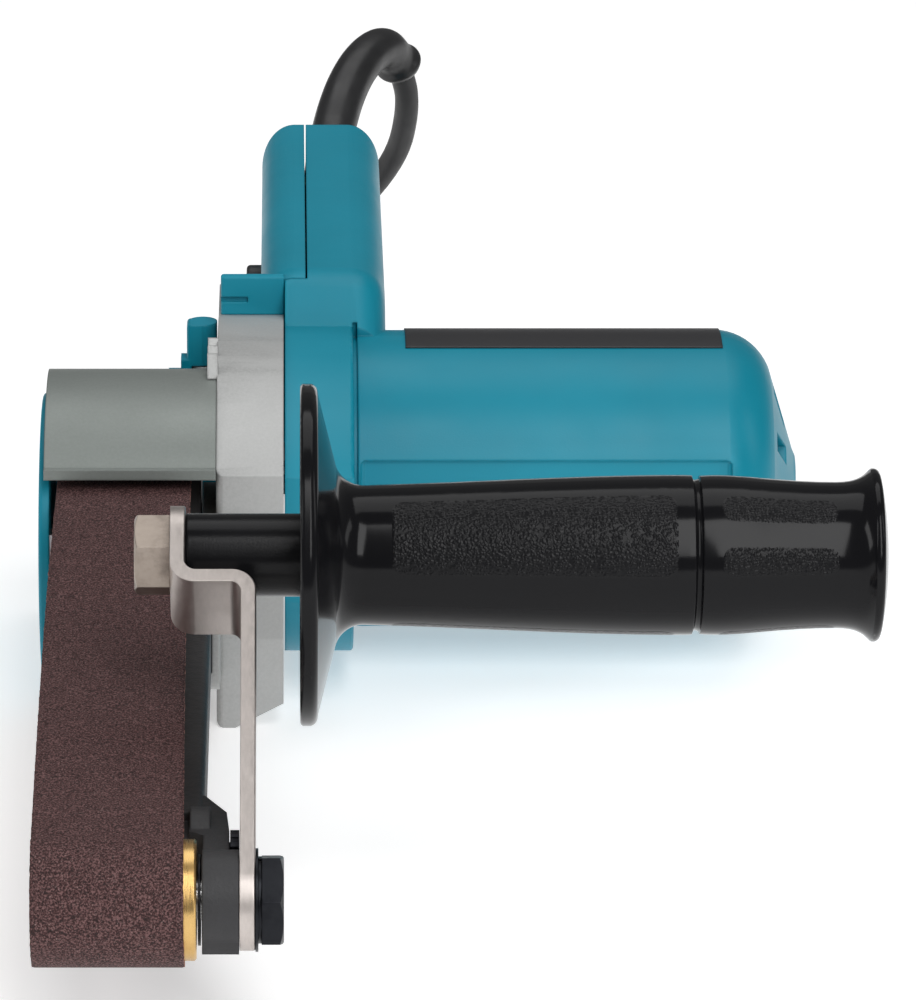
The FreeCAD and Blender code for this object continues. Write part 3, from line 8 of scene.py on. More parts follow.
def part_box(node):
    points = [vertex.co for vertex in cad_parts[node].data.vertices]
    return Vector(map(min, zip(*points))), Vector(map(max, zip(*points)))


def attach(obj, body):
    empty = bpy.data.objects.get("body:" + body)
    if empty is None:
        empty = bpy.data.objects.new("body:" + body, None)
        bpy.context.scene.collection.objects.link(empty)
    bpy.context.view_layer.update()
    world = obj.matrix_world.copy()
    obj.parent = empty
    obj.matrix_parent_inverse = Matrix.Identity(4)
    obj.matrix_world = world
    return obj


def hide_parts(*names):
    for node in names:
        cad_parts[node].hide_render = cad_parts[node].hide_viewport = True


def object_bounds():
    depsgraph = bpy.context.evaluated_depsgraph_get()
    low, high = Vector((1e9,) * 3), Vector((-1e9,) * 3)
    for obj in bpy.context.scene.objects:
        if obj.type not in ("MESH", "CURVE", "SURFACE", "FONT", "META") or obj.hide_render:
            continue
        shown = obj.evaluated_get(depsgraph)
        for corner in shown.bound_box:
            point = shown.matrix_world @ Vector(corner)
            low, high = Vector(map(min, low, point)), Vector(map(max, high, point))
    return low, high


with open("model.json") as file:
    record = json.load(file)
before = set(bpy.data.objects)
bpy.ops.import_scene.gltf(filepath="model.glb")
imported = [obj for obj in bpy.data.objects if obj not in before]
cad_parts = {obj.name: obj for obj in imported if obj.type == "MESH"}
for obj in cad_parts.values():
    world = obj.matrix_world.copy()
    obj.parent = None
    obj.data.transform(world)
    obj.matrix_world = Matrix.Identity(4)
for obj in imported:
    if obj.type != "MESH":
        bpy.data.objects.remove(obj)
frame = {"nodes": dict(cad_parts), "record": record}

cad_low, cad_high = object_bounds()
nodes = frame["nodes"]
MM = 0.001

# ------------------------------------------------------------------ places, all from the CAD boxes


def middle_of(node):
    low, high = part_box(node)
    return (Vector(low) + Vector(high)) / 2


# The tool frame: X = 0 is the joint between gear housing and motor, Y = Z = 0 is the drive axis.
drive = middle_of("drive_gear")
TOOL = Vector((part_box("motor_housing")[0][0] - 0.2 * MM, drive.y, drive.z))
FLOOR_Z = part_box("gear_housing")[0][2]


def at(x, y, z):
    """A point given in the tool frame's millimetres."""
    return TOOL + Vector((x, y, z)) * MM


GRIP = middle_of("side_grip")
IDLER = middle_of("idler_pulley")

# ------------------------------------------------------------------ camera
CAMERA_ELEVATION = math.radians(19.4)
CAMERA_DISTANCE = 1.414
CAMERA_LENS = 222.2
CAMERA_SHIFT = 0.174
AIM = at(0, 2.95, 8.4)


def make_camera():
    data = bpy.data.cameras.new("camera")
    data.lens = CAMERA_LENS
    data.sensor_width = 36.0
    data.shift_x = CAMERA_SHIFT
    data.clip_start = 0.05
    data.clip_end = 50
    camera = bpy.data.objects.new("camera", data)
    bpy.context.scene.collection.objects.link(camera)
    back = Vector((0, -math.cos(CAMERA_ELEVATION), math.sin(CAMERA_ELEVATION)))
    camera.location = AIM + back * CAMERA_DISTANCE
    camera.rotation_euler = (math.pi / 2 - CAMERA_ELEVATION, 0, 0)
    bpy.context.scene.camera = camera


make_camera()

# ------------------------------------------------------------------ small helpers


def link(obj):
    bpy.context.scene.collection.objects.link(obj)
    return obj


def mesh_piece(name, verts, faces, material, body, smooth=True):
    mesh = bpy.data.meshes.new(name)
    mesh.from_pydata([tuple(v) for v in verts], [], faces)
    mesh.validate()
    mesh.update()
    for polygon in mesh.polygons:
        polygon.use_smooth = smooth
    obj = link(bpy.data.objects.new(name, mesh))
    obj.data.materials.append(material)
    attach(obj, body)
    return obj


def grid_faces(rows, columns, closed):
    """Quads of a grid of points; closed joins the last column to the first."""
    faces = []
    for r in range(rows - 1):
        for c in range(columns if closed else columns - 1):
            d = (c + 1) % columns
            faces.append((r * columns + c, (r + 1) * columns + c,
                          (r + 1) * columns + d, r * columns + d))
    return faces


# ------------------------------------------------------------------ materials
class Shader:
    """A material under construction: node shorthand around one Principled BSDF."""

    def __init__(self, name):
        self.material = bpy.data.materials.new(name)
        self.material.use_nodes = True
        self.tree = self.material.node_tree
        self.bsdf = self.tree.nodes["Principled BSDF"]
        self.place = self.tree.nodes.new("ShaderNodeTexCoord").outputs["Object"]

    def set(self, **values):
        for key, value in values.items():
            socket = self.bsdf.inputs[key.replace("_", " ")]
            if hasattr(socket.default_value, "__len__") and len(value) == 3:
                value = (*value, 1.0)
            socket.default_value = value

    def new(self, kind, **inputs):
        node = self.tree.nodes.new(kind)
        for key, value in inputs.items():
            name = key.replace("_", " ")
            if isinstance(value, bpy.types.NodeSocket):
                self.tree.links.new(value, node.inputs[name])
            else:
                node.inputs[name].default_value = value
        return node

    def link(self, out, socket):
        self.tree.links.new(out, socket)

    def noise(self, scale, detail=4.0, roughness=0.55, distortion=0.0, vector=None):
        node = self.new("ShaderNodeTexNoise", Scale=scale, Detail=detail,
                        Roughness=roughness, Distortion=distortion)
        self.link(vector or self.place, node.inputs["Vector"])
        return node.outputs["Fac"]

    def cells(self, scale, feature="F1", vector=None):
        node = self.new("ShaderNodeTexVoronoi", Scale=scale)
        node.feature = feature
        self.link(vector or self.place, node.inputs["Vector"])
        return node.outputs["Distance"]

    def warped(self, amount):
        """The place, pushed about a little, so that cells lose their straight sides."""
        node = self.new("ShaderNodeTexNoise", Scale=700.0, Detail=2.0)
        self.link(self.place, node.inputs["Vector"])
        shift = self.tree.nodes.new("ShaderNodeVectorMath")
        shift.operation = "MULTIPLY_ADD"
        self.link(node.outputs["Color"], shift.inputs[0])
        shift.inputs[1].default_value = (amount, amount, amount)
        self.link(self.place, shift.inputs[2])
        return shift.outputs[0]

    def stretch(self, x, y, z):
        node = self.new("ShaderNodeMapping")
        node.inputs["Scale"].default_value = (x, y, z)
        self.link(self.place, node.inputs["Vector"])
        return node.outputs["Vector"]

    def ramp(self, value, *stops):
        """Maps a value through (position, grey or colour) stops."""
        node = self.new("ShaderNodeValToRGB", Fac=value)
        ramp = node.color_ramp
        while len(ramp.elements) < len(stops):
            ramp.elements.new(0.5)
        for element, (position, colour) in zip(ramp.elements, stops):
            element.position = position
            if not hasattr(colour, "__len__"):
                colour = (colour, colour, colour)
            element.color = (*colour, 1.0)
        return node.outputs["Color"]

    def math(self, operation, a, b=0.0, c=0.0):
        node = self.tree.nodes.new("ShaderNodeMath")
        node.operation = operation
        for socket, value in zip(node.inputs, (a, b, c)):
            if isinstance(value, bpy.types.NodeSocket):
                self.link(value, socket)
            else:
                socket.default_value = value
        return node.outputs[0]

    def mix(self, factor, a, b):
        node = self.tree.nodes.new("ShaderNodeMix")
        node.data_type = "RGBA"
        for index, value in ((0, factor), (6, a), (7, b)):
            socket = node.inputs[index]
            if isinstance(value, bpy.types.NodeSocket):
                self.link(value, socket)
            elif index == 0:
                socket.default_value = value
            else:
                socket.default_value = (*value, 1.0)
        return node.outputs[2]

    def edges(self, low=0.50, high=0.56):
        """Near 1 on worn convex edges."""
        geometry = self.tree.nodes.new("ShaderNodeNewGeometry")
        return self.ramp(geometry.outputs["Pointiness"], (low, 0.0), (high, 1.0))

    def colour(self, out):
        self.link(out, self.bsdf.inputs["Base Color"])

    def rough(self, out):
        self.link(out, self.bsdf.inputs["Roughness"])

    def bump(self, height, distance, strength=1.0, bevel=0.0):
        node = self.new("ShaderNodeBump", Height=height, Distance=distance, Strength=strength)
        if bevel:
            soft = self.new("ShaderNodeBevel", Radius=bevel)
            soft.samples = 6
            self.link(soft.outputs["Normal"], node.inputs["Normal"])
        self.link(node.outputs["Normal"], self.bsdf.inputs["Normal"])


def around(colour, amount):
    """The same colour, a little darker and a little lighter."""
    dark = tuple(max(c * (1 - amount), 0) for c in colour)
    light = tuple(min(c * (1 + amount), 1) for c in colour)
    return dark, light


# Rounding that the shading gives to sharp edges.
PLASTIC_BEVEL = 0.7 * MM
CAST_BEVEL = 0.6 * MM
WORKED_BEVEL = 0.3 * MM
RUBBER_BEVEL = 0.4 * MM


def moulded_plastic(name, colour, roughness):
    """Spark-eroded moulded plastic: fine grain, slight cloudiness, paler rubbed edges."""
    s = Shader(name)
    dark, light = around(colour, 0.05)
    cloud = s.noise(28.0, 3.0)
    tint = s.ramp(cloud, (0.35, dark), (0.65, light))
    worn = s.mix(s.math("MULTIPLY", s.edges(0.515, 0.60), 0.25), tint,
                 tuple(min(c * 1.5 + 0.03, 1) for c in colour))
    s.colour(worn)
    fine = s.noise(2600.0, 2.0)
    s.rough(s.ramp(s.noise(60.0, 4.0), (0.3, roughness - 0.04), (0.7, roughness + 0.05)))
    s.bump(fine, 0.00004, 0.6, PLASTIC_BEVEL)
    return s


def cast_metal(name, colour, roughness, lumps):
    """Blasted casting: granular sparkle, faint flow marks, bright rubbed edges."""
    s = Shader(name)
    dark, light = around(colour, 0.14)
    sparkle = s.noise(1500.0, 3.0, 0.7)
    flow = s.noise(45.0, 5.0, 0.6)
    tone = s.ramp(sparkle, (0.30, dark), (0.70, light))
    soft = s.mix(s.math("MULTIPLY", flow, 0.30), tone, tuple(c * 0.8 for c in colour))
    s.colour(s.mix(s.math("MULTIPLY", s.edges(0.52, 0.60), 0.55), soft,
                   tuple(min(c * 1.35, 1) for c in colour)))
    s.rough(s.ramp(flow, (0.3, roughness - 0.06), (0.7, roughness + 0.08)))
    height = s.math("ADD", s.math("MULTIPLY", sparkle, 0.5), s.noise(420.0, 4.0))
    s.bump(height, lumps, 0.7, CAST_BEVEL)
    return s


def worked_metal(name, colour, roughness, stretch=(1, 1, 1), scratch=900.0, stain=None):
    """Rolled, turned or ground metal: fine directional lines, stains, brighter edges."""
    s = Shader(name)
    s.set(Metallic=1.0)
    lines = s.noise(scratch, 3.0, 0.6, vector=s.stretch(*stretch))
    spots = s.noise(130.0, 6.0, 0.65)
    dark, light = around(colour, 0.10)
    tone = s.ramp(lines, (0.3, dark), (0.7, light))
    if stain:
        tone = s.mix(s.ramp(spots, (0.48, 0.0), (0.68, 0.75)), tone, stain)
    s.colour(s.mix(s.math("MULTIPLY", s.edges(0.52, 0.60), 0.4), tone,
                   tuple(min(c * 1.3, 1) for c in colour)))
    s.rough(s.ramp(s.math("ADD", s.math("MULTIPLY", lines, 0.5), s.math("MULTIPLY", spots, 0.5)),
                   (0.3, roughness - 0.07), (0.7, roughness + 0.10)))
    s.bump(lines, 0.00002, 0.5, WORKED_BEVEL)
    return s


def rubber(name, colour, roughness):
    s = Shader(name)
    dark, light = around(colour, 0.25)
    s.colour(s.ramp(s.noise(70.0, 4.0), (0.35, dark), (0.65, light)))
    s.rough(s.ramp(s.noise(200.0, 3.0), (0.3, roughness - 0.06), (0.7, roughness + 0.08)))
    s.bump(s.noise(2200.0, 2.0), 0.00003, 0.5, RUBBER_BEVEL)
    return s


TEAL = (0.0, 0.222, 0.315)
teal = moulded_plastic("teal_plastic", TEAL, 0.40)
teal.set(Specular_IOR_Level=0.30)
dark_plastic = moulded_plastic("dark_plastic", (0.012, 0.012, 0.014), 0.42)
silver = cast_metal("cast_aluminium", (0.40, 0.405, 0.40), 0.48, 0.00006)
silver.set(Metallic=0.35)
# The belt guard: the same blasted aluminium, about six tenths as bright. The darker colour is painted
# shade for the guard's shaded face and the dark it reflects.
shaded_guard_cast = cast_metal("guard_casting_painted_shade", (0.195, 0.215, 0.203), 0.46, 0.00006)
shaded_guard_cast.set(Metallic=0.35)
tube_black = moulded_plastic("tube_black", (0.003, 0.003, 0.004), 0.22)
tube_black.set(Specular_IOR_Level=0.15)
black_cast = cast_metal("black_casting", (0.022, 0.022, 0.024), 0.55, 0.00022)
strap = worked_metal("strap_steel", (0.50, 0.455, 0.43), 0.40, (1, 0.25, 0.25), 1400.0,
                     stain=(0.40, 0.365, 0.34))
nickel = worked_metal("nickel_steel", (0.34, 0.29, 0.25), 0.38, (1, 1, 1), 500.0,
                      stain=(0.13, 0.105, 0.09))
black_steel = worked_metal("black_steel", (0.020, 0.021, 0.024), 0.34, (1, 1, 1), 400.0,
                           stain=(0.010, 0.010, 0.013))
bright_steel = worked_metal("bright_steel", (0.62, 0.62, 0.62), 0.26, (0.2, 1, 1), 900.0)
spring_steel = worked_metal("spring_steel", (0.36, 0.36, 0.38), 0.30)
turned_alu = worked_metal("turned_aluminium", (0.70, 0.70, 0.71), 0.32, (6, 0.6, 0.6), 500.0)
lamination = worked_metal("lamination", (0.22, 0.23, 0.25), 0.45, (8, 0.2, 0.2), 900.0)
brass = worked_metal("brass", (0.60, 0.39, 0.15), 0.27, (8, 0.5, 0.5), 400.0,
                     stain=(0.50, 0.30, 0.10))
copper = worked_metal("copper", (0.72, 0.30, 0.15), 0.35, (1, 1, 1), 600.0)
carbon = rubber("carbon", (0.03, 0.03, 0.03), 0.6)
pulley_rubber = rubber("pulley_rubber", (0.035, 0.035, 0.036), 0.65)
cord_rubber = rubber("rubber", (0.016, 0.016, 0.017), 0.48)
board = moulded_plastic("board", (0.01, 0.14, 0.05), 0.35)


# Grained patches of the grip, three times round it: X from and to in the tool frame, then from and
# to in degrees off a patch's middle. Negative degrees are never reached, as both sides count as one.
PATCH_MIDDLE = 35.0
PATCH_CORNER = 2.6 * MM
PATCH_FADE = (-0.15 * MM, 0.35 * MM)
PATCHES = [(22.0, 79.5, -32.0, 32.0), (88.8, 112.2, 9.5, 31.5)]
PATCH_RADIUS = 15.6 * MM


def grip_plastic():
    """Glossy black moulding with grained, rounded patches round the grip."""
    s = Shader("grip_plastic")
    split = s.tree.nodes.new("ShaderNodeSeparateXYZ")
    s.link(s.place, split.inputs[0])
    up = s.math("SUBTRACT", split.outputs["Z"], GRIP.z)
    back = s.math("SUBTRACT", split.outputs["Y"], GRIP.y)
    angle = s.math("ARCTAN2", up, s.math("MULTIPLY", back, -1.0))
    third = 2 * math.pi / 3
    turned = s.math("SUBTRACT", angle, math.radians(PATCH_MIDDLE - 60))
    inside = s.math("SUBTRACT", s.math("FLOORED_MODULO", turned, third), third / 2)
    off_middle = s.math("ABSOLUTE", inside)
    masks = []
    for x0, x1, near, far in PATCHES:
        middle_x = at((x0 + x1) / 2, 0, 0).x
        half = (x1 - x0) / 2 * MM
        along = s.math("SUBTRACT", s.math("ABSOLUTE", s.math(
            "SUBTRACT", split.outputs["X"], middle_x)), half - PATCH_CORNER)
        middle_a = math.radians((near + far) / 2)
        half_a = math.radians((far - near) / 2)
        over = s.math("SUBTRACT", s.math("ABSOLUTE", s.math(
            "SUBTRACT", off_middle, middle_a)), half_a)
        over = s.math("ADD", s.math("MULTIPLY", over, PATCH_RADIUS), PATCH_CORNER)
        along = s.math("MAXIMUM", along, 0.0)
        over = s.math("MAXIMUM", over, 0.0)
        reach = s.math("SQRT", s.math("ADD", s.math("MULTIPLY", along, along),
                                      s.math("MULTIPLY", over, over)))
        depth = s.math("SUBTRACT", PATCH_CORNER, reach)
        ramp = s.new("ShaderNodeMapRange", Value=depth)
        ramp.inputs["From Min"].default_value = PATCH_FADE[0]
        ramp.inputs["From Max"].default_value = PATCH_FADE[1]
        masks.append(ramp.outputs["Result"])
    mask = masks[0]
    for extra in masks[1:]:
        mask = s.math("MAXIMUM", mask, extra)
    cells = s.cells(1500.0, "F1", s.warped(0.0009))
    pebble = s.ramp(cells, (0.10, 1.0), (0.70, 0.0))
    grain = s.math("MULTIPLY", pebble, mask)
    s.colour(s.mix(mask, (0.0060, 0.0060, 0.0070), (0.0080, 0.0080, 0.0090)))
    smooth = s.ramp(s.noise(35.0, 4.0), (0.3, 0.11), (0.7, 0.16))
    s.rough(s.mix(mask, smooth, (0.27, 0.27, 0.27)))
    s.set(Specular_IOR_Level=0.15)
    height = s.math("ADD", grain, s.math("MULTIPLY", mask, 0.35))
    height = s.math("ADD", height, s.math("MULTIPLY", s.noise(120.0, 2.0), 0.10))
    s.bump(height, 0.00012, 1.0, 0.0003)
    return s


def graphite_cloth():
    s = Shader("graphite")
    s.colour(s.ramp(s.noise(300.0, 4.0), (0.3, (0.02, 0.02, 0.022)), (0.7, (0.06, 0.06, 0.065))))
    weave = s.tree.nodes.new("ShaderNodeTexWave")
    weave.inputs["Scale"].default_value = 900.0
    s.link(s.place, weave.inputs["Vector"])
    s.set(Roughness=0.5)
    s.bump(weave.outputs["Fac"], 0.00005, 0.6)
    return s


grip_finish = grip_plastic()
graphite = graphite_cloth()

FINISHES = {
    "teal_plastic": teal, "black_plastic": dark_plastic, "dark_plastic": dark_plastic,
    "cast_aluminium": silver, "turned_aluminium": turned_alu, "black_casting": black_cast,
    "strap_steel": strap, "bright_steel": bright_steel, "nickel_steel": nickel,
    "black_steel": black_steel, "spring_steel": spring_steel, "lamination": lamination,
    "copper": copper, "brass": brass, "carbon": carbon, "graphite": graphite,
    "rubber": cord_rubber, "pulley_rubber": pulley_rubber, "board": board, "plate": dark_plastic,
    "abrasive": graphite,
}


def finish_cad_nodes():
    """Every carried-over CAD node gets the procedural finish of its own material slot."""
    for part in frame["record"]["subparts"]:
        obj = nodes[part["node"]]
        obj.data.materials.clear()
        obj.data.materials.append(FINISHES[part["material_slot"]].material)
    nodes["side_grip"].data.materials[0] = grip_finish.material
    # The belt guard takes the darker copy of the cast aluminium, whose colour carries painted shade.
    nodes["belt_guard"].data.materials[0] = shaded_guard_cast.material
    nodes["spacer_tube"].data.materials[0] = tube_black.material


finish_cad_nodes()

# ------------------------------------------------------------------ the mains cord, sleeve and coil
CORD_DIAMETER = 6.2 * MM
SLEEVE_ROUTE = [(10.0, 141.5, 40.0), (10.8, 165.0, 43.2), (15.0, 181.0, 55.4),
                (20.8, 193.8, 61.8), (27.2, 205.2, 61.6), (30.0, 210.0, 54.0)]
LEAD_ROUTE = [(32.6, 214.8, 43.0), (29.3, 226.3, 23.3), (12.2, 232.0, 3.5),
              (5.9, 225.3, -17.3), (4.5, 206.8, -30.4), (9.3, 184.5, -30.4),
              (26.9, 170.0, -30.4), (50.0, 169.5, -30.4), (66.0, 168.4, -30.4)]
TAIL_ROUTE = [(52.0, 80.2, -14.0), (32.0, 81.0, -17.5), (15.0, 90.0, -20.5),
              (6.0, 106.0, -20.5), (2.0, 121.9, -20.5)]
COIL_CENTRE = (72.0, 122.0)
# Each turn's radius and height, in the order that it was wound: in, out, and in again on top.
COIL_TURNS = [(46.3, -30.4), (40.1, -30.4), (33.9, -30.4), (27.7, -30.4),
              (30.8, -24.9), (37.0, -24.9), (43.2, -24.9), (46.3, -19.2), (40.1, -19.2)]
COIL_START = math.radians(90.0)
COIL_SWEEP = 8.5
POINTS_PER_TURN = 16
EASE_FROM = 0.72          # share of a turn after which it eases to the next radius and height
CONTROL_OUTSET = 1.012    # control points lie outside the round that the curve follows


def coil_points():
    """Control points of the wound turns, clockwise from above, easing from each turn to the next."""
    points = []
    for k in range(1, int(COIL_SWEEP * POINTS_PER_TURN) + 1):
        turn = k / POINTS_PER_TURN
        which = int(turn)
        radius, z = COIL_TURNS[which]
        following = COIL_TURNS[min(which + 1, len(COIL_TURNS) - 1)]
        ease = min(max((turn - which - EASE_FROM) / (1 - EASE_FROM), 0), 1)
        ease = ease * ease * (3 - 2 * ease)
        radius += (following[0] - radius) * ease
        z += (following[1] - z) * ease
        angle = COIL_START - turn * 2 * math.pi
        radius *= CONTROL_OUTSET
        points.append((COIL_CENTRE[0] + radius * math.cos(angle),
                       COIL_CENTRE[1] + radius * math.sin(angle), z))
    return points


def spline_object(name, points, thickness):
    """A smooth curve with these tool-frame points as its control points."""
    curve = bpy.data.curves.new(name, "CURVE")
    curve.dimensions = "3D"
    spline = curve.splines.new("NURBS")
    spline.points.add(len(points) - 1)
    for point, place in zip(spline.points, points):
        point.co = (*at(*place), 1.0)
    spline.order_u = 3
    spline.use_endpoint_u = True
    spline.resolution_u = 8
    curve.bevel_depth = thickness / 2
    curve.bevel_resolution = 5
    curve.use_fill_caps = thickness > 0
    return link(bpy.data.objects.new(name, curve))


def spline_points(points):
    """Points read from the smooth curve that has these control points."""
    guide = spline_object("guide", points, 0)
    mesh = bpy.data.meshes.new_from_object(guide.evaluated_get(
        bpy.context.evaluated_depsgraph_get()))
    found = [v.co.copy() for v in mesh.vertices]
    curve = guide.data
    bpy.data.objects.remove(guide)
    bpy.data.curves.remove(curve)
    bpy.data.meshes.remove(mesh)
    return found


def tube_rings(path, radii, sides):
    """Rings of a tube along a path, without twist; radii has one value per path point."""
    rings = []
    normal = Vector((1, 0, 0))
    for k, point in enumerate(path):
        ahead = path[min(k + 1, len(path) - 1)] - path[max(k - 1, 0)]
        ahead.normalize()
        normal = (normal - ahead * normal.dot(ahead)).normalized()
        side = ahead.cross(normal)
        rings.extend(point + (normal * math.cos(a) + side * math.sin(a)) * radii[k]
                     for a in (2 * math.pi * i / sides for i in range(sides)))
    return rings


def resampled(path, step):
    """The same path with evenly spaced points."""
    out = [path[0].copy()]
    left = step
    for a, b in zip(path, path[1:]):
        run = (b - a).length
        done = left
        while done <= run and run > 0:
            out.append(a.lerp(b, done / run))
            done += step
        left = done - run
    return out


SLEEVE_STEP = 0.5
SLEEVE_SIDES = 40
SLEEVE_MOUTH_R = 5.05
SLEEVE_GROWS = 0.45       # how much wider the sleeve is where its taper starts
SLEEVE_TAPER = 45.0


def make_sleeve():
    """Moulded strain relief: a smooth taper, a soft rim at its mouth and a shallow neck behind it."""
    path = resampled(spline_points(SLEEVE_ROUTE), SLEEVE_STEP * MM)
    count = len(path)
    radii = []
    for k in range(count):
        left = (count - 1 - k) * SLEEVE_STEP
        radius = SLEEVE_MOUTH_R + SLEEVE_GROWS * min(left / SLEEVE_TAPER, 1.0)
        rim = 1.05 * math.exp(-((left - 1.6) / 1.5) ** 2)
        neck = 0.25 * math.exp(-((left - 6.0) / 2.5) ** 2)
        radii.append((radius + rim - neck) * MM)
    verts = tube_rings(path, radii, SLEEVE_SIDES)
    # The mouth: its end face, then a short hole round the cord.
    for radius in (4.4, 3.2):
        verts += tube_rings(path[-2:], [radius * MM] * 2, SLEEVE_SIDES)[-SLEEVE_SIDES:]
    verts += tube_rings(path[-6:-4], [3.15 * MM] * 2, SLEEVE_SIDES)[-SLEEVE_SIDES:]
    faces = grid_faces(len(verts) // SLEEVE_SIDES, SLEEVE_SIDES, True)
    piece = mesh_piece("cord_sleeve", verts, faces, sleeve_rubber.material, "housing")
    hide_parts("cord_guard")
    return piece


sleeve_rubber = rubber("sleeve_rubber", (0.014, 0.014, 0.015), 0.36)
sleeve = make_sleeve()


def make_cord():
    cord = spline_object("mains_cord", SLEEVE_ROUTE + LEAD_ROUTE + coil_points() + TAIL_ROUTE,
                         CORD_DIAMETER)
    cord.data.materials.append(cord_rubber.material)
    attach(cord, "housing")
    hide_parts("cord_lead", "cord_coil", "cord_tail")
    return cord


make_cord()

# ------------------------------------------------------------------ sanding belt
BELT_LEFT = -50.0
BELT_WIDTH = 30.0
BELT_THICK = 1.0
DRIVE_RUN_R = 22.8
IDLER_RUN_R = 12.8
WHEEL_GAP = (drive.y - IDLER.y) / MM
BELT_STEPS = 1080         # rows along the loop
BELT_ACROSS = 61          # points over its width
IDLER_SHIFT = 0.3         # how far the belt tracks to the right on the idler
DRIVE_SHIFT = 1.3         # and how far to the left of that on the drive pulley
SHIFT_RATE = 1.6          # the shift is complete at 1 / 1.6 of the way
FRAY = 0.16
FRAY_SHARE = 12           # only the outer twelfth of the width frays
EDGE_ROUND = 0.72         # the cut edges are thinner than the cloth by this ratio


def belt_track(steps):
    """Points and outward directions round the belt's middle line, in the tool frame's Y and Z."""
    lean = math.asin((DRIVE_RUN_R - IDLER_RUN_R) / WHEEL_GAP)
    run = math.sqrt(WHEEL_GAP ** 2 - (DRIVE_RUN_R - IDLER_RUN_R) ** 2)
    front_arc = IDLER_RUN_R * (math.pi - 2 * lean)
    rear_arc = DRIVE_RUN_R * (math.pi + 2 * lean)
    total = 2 * run + front_arc + rear_arc
    track = []
    for k in range(steps):
        s = total * k / steps
        if s < run:
            angle = math.pi / 2 + lean
            y = DRIVE_RUN_R * math.cos(angle) - s * math.cos(lean)
            z = DRIVE_RUN_R * math.sin(angle) - s * math.sin(lean)
        elif s < run + front_arc:
            angle = math.pi / 2 + lean + (s - run) / IDLER_RUN_R
            y = -WHEEL_GAP + IDLER_RUN_R * math.cos(angle)
            z = IDLER_RUN_R * math.sin(angle)
        elif s < 2 * run + front_arc:
            angle = -math.pi / 2 - lean
            back = s - run - front_arc
            y = -WHEEL_GAP + IDLER_RUN_R * math.cos(angle) + back * math.cos(lean)
            z = IDLER_RUN_R * math.sin(angle) - back * math.sin(lean)
        else:
            angle = -math.pi / 2 - lean + (s - 2 * run - front_arc) / DRIVE_RUN_R
            y = DRIVE_RUN_R * math.cos(angle)
            z = DRIVE_RUN_R * math.sin(angle)
        track.append((y, z, math.cos(angle), math.sin(angle), s))
    return track


def grit_cloth():
    """Aluminium oxide grains in brown resin: fine dark pits, pale glints, slight patches of wear."""
    s = Shader("abrasive")
    grains = s.cells(2300.0)
    tiny = s.noise(2500.0, 2.0, 0.7)
    mottled = s.noise(55.0, 4.0, 0.6)
    base = s.ramp(tiny, (0.38, (0.014, 0.006, 0.006)), (0.50, (0.058, 0.023, 0.023)),
                  (0.62, (0.19, 0.10, 0.098)))
    base = s.mix(s.math("MULTIPLY", mottled, 0.25), base, (0.040, 0.017, 0.016))
    glint = s.ramp(s.noise(2900.0, 1.0, 0.5), (0.68, 0.0), (0.76, 1.0))
    s.colour(s.mix(s.math("MULTIPLY", glint, 0.5), base, (0.42, 0.30, 0.28)))
    s.rough(s.ramp(grains, (0.1, 0.55), (0.6, 0.85)))
    s.set(Specular_IOR_Level=0.35)
    s.bump(s.math("ADD", grains, tiny), 0.00014, 0.9)
    return s


def backing_cloth():
    """Twill backing on the belt's inner side."""
    s = Shader("belt_backing")
    threads = []
    for turn in (45.0, -45.0):
        mapping = s.tree.nodes.new("ShaderNodeMapping")
        mapping.inputs["Rotation"].default_value = (0, 0, math.radians(turn))
        s.link(s.place, mapping.inputs["Vector"])
        wave = s.tree.nodes.new("ShaderNodeTexWave")
        wave.inputs["Scale"].default_value = 420.0
        wave.inputs["Distortion"].default_value = 1.5
        s.link(mapping.outputs["Vector"], wave.inputs["Vector"])
        threads.append(wave.outputs["Fac"])
    weave = s.math("MAXIMUM", threads[0], threads[1])
    s.colour(s.ramp(weave, (0.2, (0.16, 0.085, 0.05)), (0.8, (0.34, 0.20, 0.13))))
    s.set(Roughness=0.85)
    s.bump(weave, 0.00010, 0.8)
    return s


def belt_edge_cloth():
    """Cut edge: pinkish fibres with threads of dark resin."""
    s = Shader("belt_edge")
    fibre = s.noise(1400.0, 5.0, 0.75)
    s.colour(s.ramp(fibre, (0.32, (0.12, 0.045, 0.035)), (0.5, (0.34, 0.14, 0.11)),
                    (0.7, (0.55, 0.30, 0.24))))
    s.set(Roughness=0.9)
    s.bump(fibre, 0.0002, 0.8)
    return s


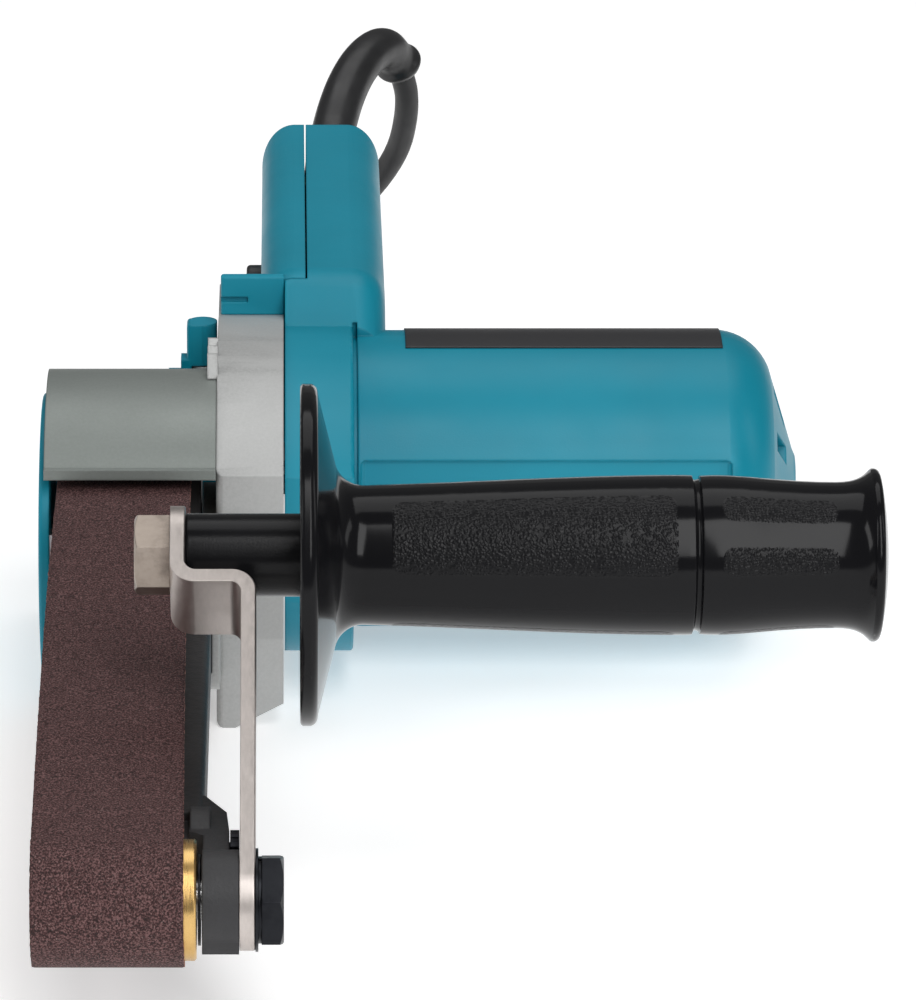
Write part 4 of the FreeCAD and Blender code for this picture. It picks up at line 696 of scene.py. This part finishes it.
def make_belt():
    """The belt as cloth: outer grit face, woven inside, cut edges that wander and fray a little."""
    track = belt_track(BELT_STEPS)
    half = BELT_THICK / 2
    shares = [c / (BELT_ACROSS - 1) for c in range(BELT_ACROSS)]
    profile = [(share, half) for share in shares] + [(1 - share, -half) for share in shares]
    verts = []
    total = track[-1][4]
    for y, z, ny, nz, s in track:
        turn = s / total * 2 * math.pi
        sway = IDLER_SHIFT - DRIVE_SHIFT * min(max((y + WHEEL_GAP) / WHEEL_GAP * SHIFT_RATE, 0), 1)
        sway += 0.15 * math.sin(2 * turn + 1.3)
        fray_left = FRAY * noise.noise(Vector((s * 0.9, 3.1, 0)))
        fray_right = FRAY * noise.noise(Vector((s * 0.9, 8.7, 0)))
        for share, lift in profile:
            x = BELT_LEFT + sway + BELT_WIDTH * share
            x += fray_left * max(0, 1 - share * FRAY_SHARE)
            x += fray_right * max(0, 1 - (1 - share) * FRAY_SHARE)
            if share in (0.0, 1.0):
                lift *= EDGE_ROUND
            verts.append(at(x, y + ny * lift, z + nz * lift))
    rows, columns = len(track), len(profile)
    faces = []
    for r in range(rows):
        q = (r + 1) % rows
        for c in range(columns):
            d = (c + 1) % columns
            faces.append((r * columns + c, r * columns + d, q * columns + d, q * columns + c))
    belt = mesh_piece("abrasive_belt", verts, faces, grit_cloth().material, "housing")
    belt.data.materials.append(backing_cloth().material)
    belt.data.materials.append(belt_edge_cloth().material)
    for index, polygon in enumerate(belt.data.polygons):
        c = index % columns
        if c in (BELT_ACROSS - 1, columns - 1):
            polygon.material_index = 2
        elif c >= BELT_ACROSS:
            polygon.material_index = 1
    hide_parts("sanding_belt")
    return belt


make_belt()


# ------------------------------------------------------------------ floor and lights
FLOOR_REACH = 4.0


def make_floor():
    s = Shader("paper_floor")
    s.colour(s.ramp(s.noise(3.0, 4.0), (0.3, (0.90, 0.90, 0.90)), (0.7, (0.93, 0.93, 0.93))))
    s.set(Roughness=0.9, Emission_Color=(1.0, 1.0, 1.0), Emission_Strength=0.42)
    s.bump(s.noise(900.0, 3.0), 0.00003, 0.4)
    mesh = bpy.data.meshes.new("floor")
    corners = [(-1, -1), (1, -1), (1, 1), (-1, 1)]
    mesh.from_pydata([(x * FLOOR_REACH, y * FLOOR_REACH, FLOOR_Z) for x, y in corners], [],
                     [(0, 1, 2, 3)])
    mesh.materials.append(s.material)
    floor = link(bpy.data.objects.new("floor", mesh))


def softbox(name, azimuth, elevation, distance, width, height, power):
    """A soft area light that looks at the middle of the object. Azimuth 0 is the camera's side."""
    light = bpy.data.lights.new(name, "AREA")
    light.shape = "RECTANGLE"
    light.size = width
    light.size_y = height
    light.energy = power
    lamp = link(bpy.data.objects.new(name, light))
    a, e = math.radians(azimuth), math.radians(elevation)
    away = Vector((math.sin(a) * math.cos(e), -math.cos(a) * math.cos(e), math.sin(e)))
    centre = (cad_low + cad_high) / 2
    lamp.location = centre + away * distance
    lamp.rotation_euler = away.to_track_quat("Z", "Y").to_euler()


def make_lights():
    world = bpy.data.worlds.new("studio")
    world.use_nodes = True
    world.node_tree.nodes["Background"].inputs["Color"].default_value = (1, 1, 1, 1)
    world.node_tree.nodes["Background"].inputs["Strength"].default_value = 0.15
    bpy.context.scene.world = world
    softbox("key_right", 15, 42, 1.6, 0.6, 1.5, 15)
    softbox("left_front", -66, 30, 1.6, 0.4, 0.9, 4.5)
    softbox("right_side", 78, 30, 1.7, 0.4, 0.9, 2.5)
    softbox("overhead", 180, 72, 1.5, 1.6, 1.0, 8)


make_floor()
make_lights()
bpy.context.scene.view_settings.view_transform = "Standard"
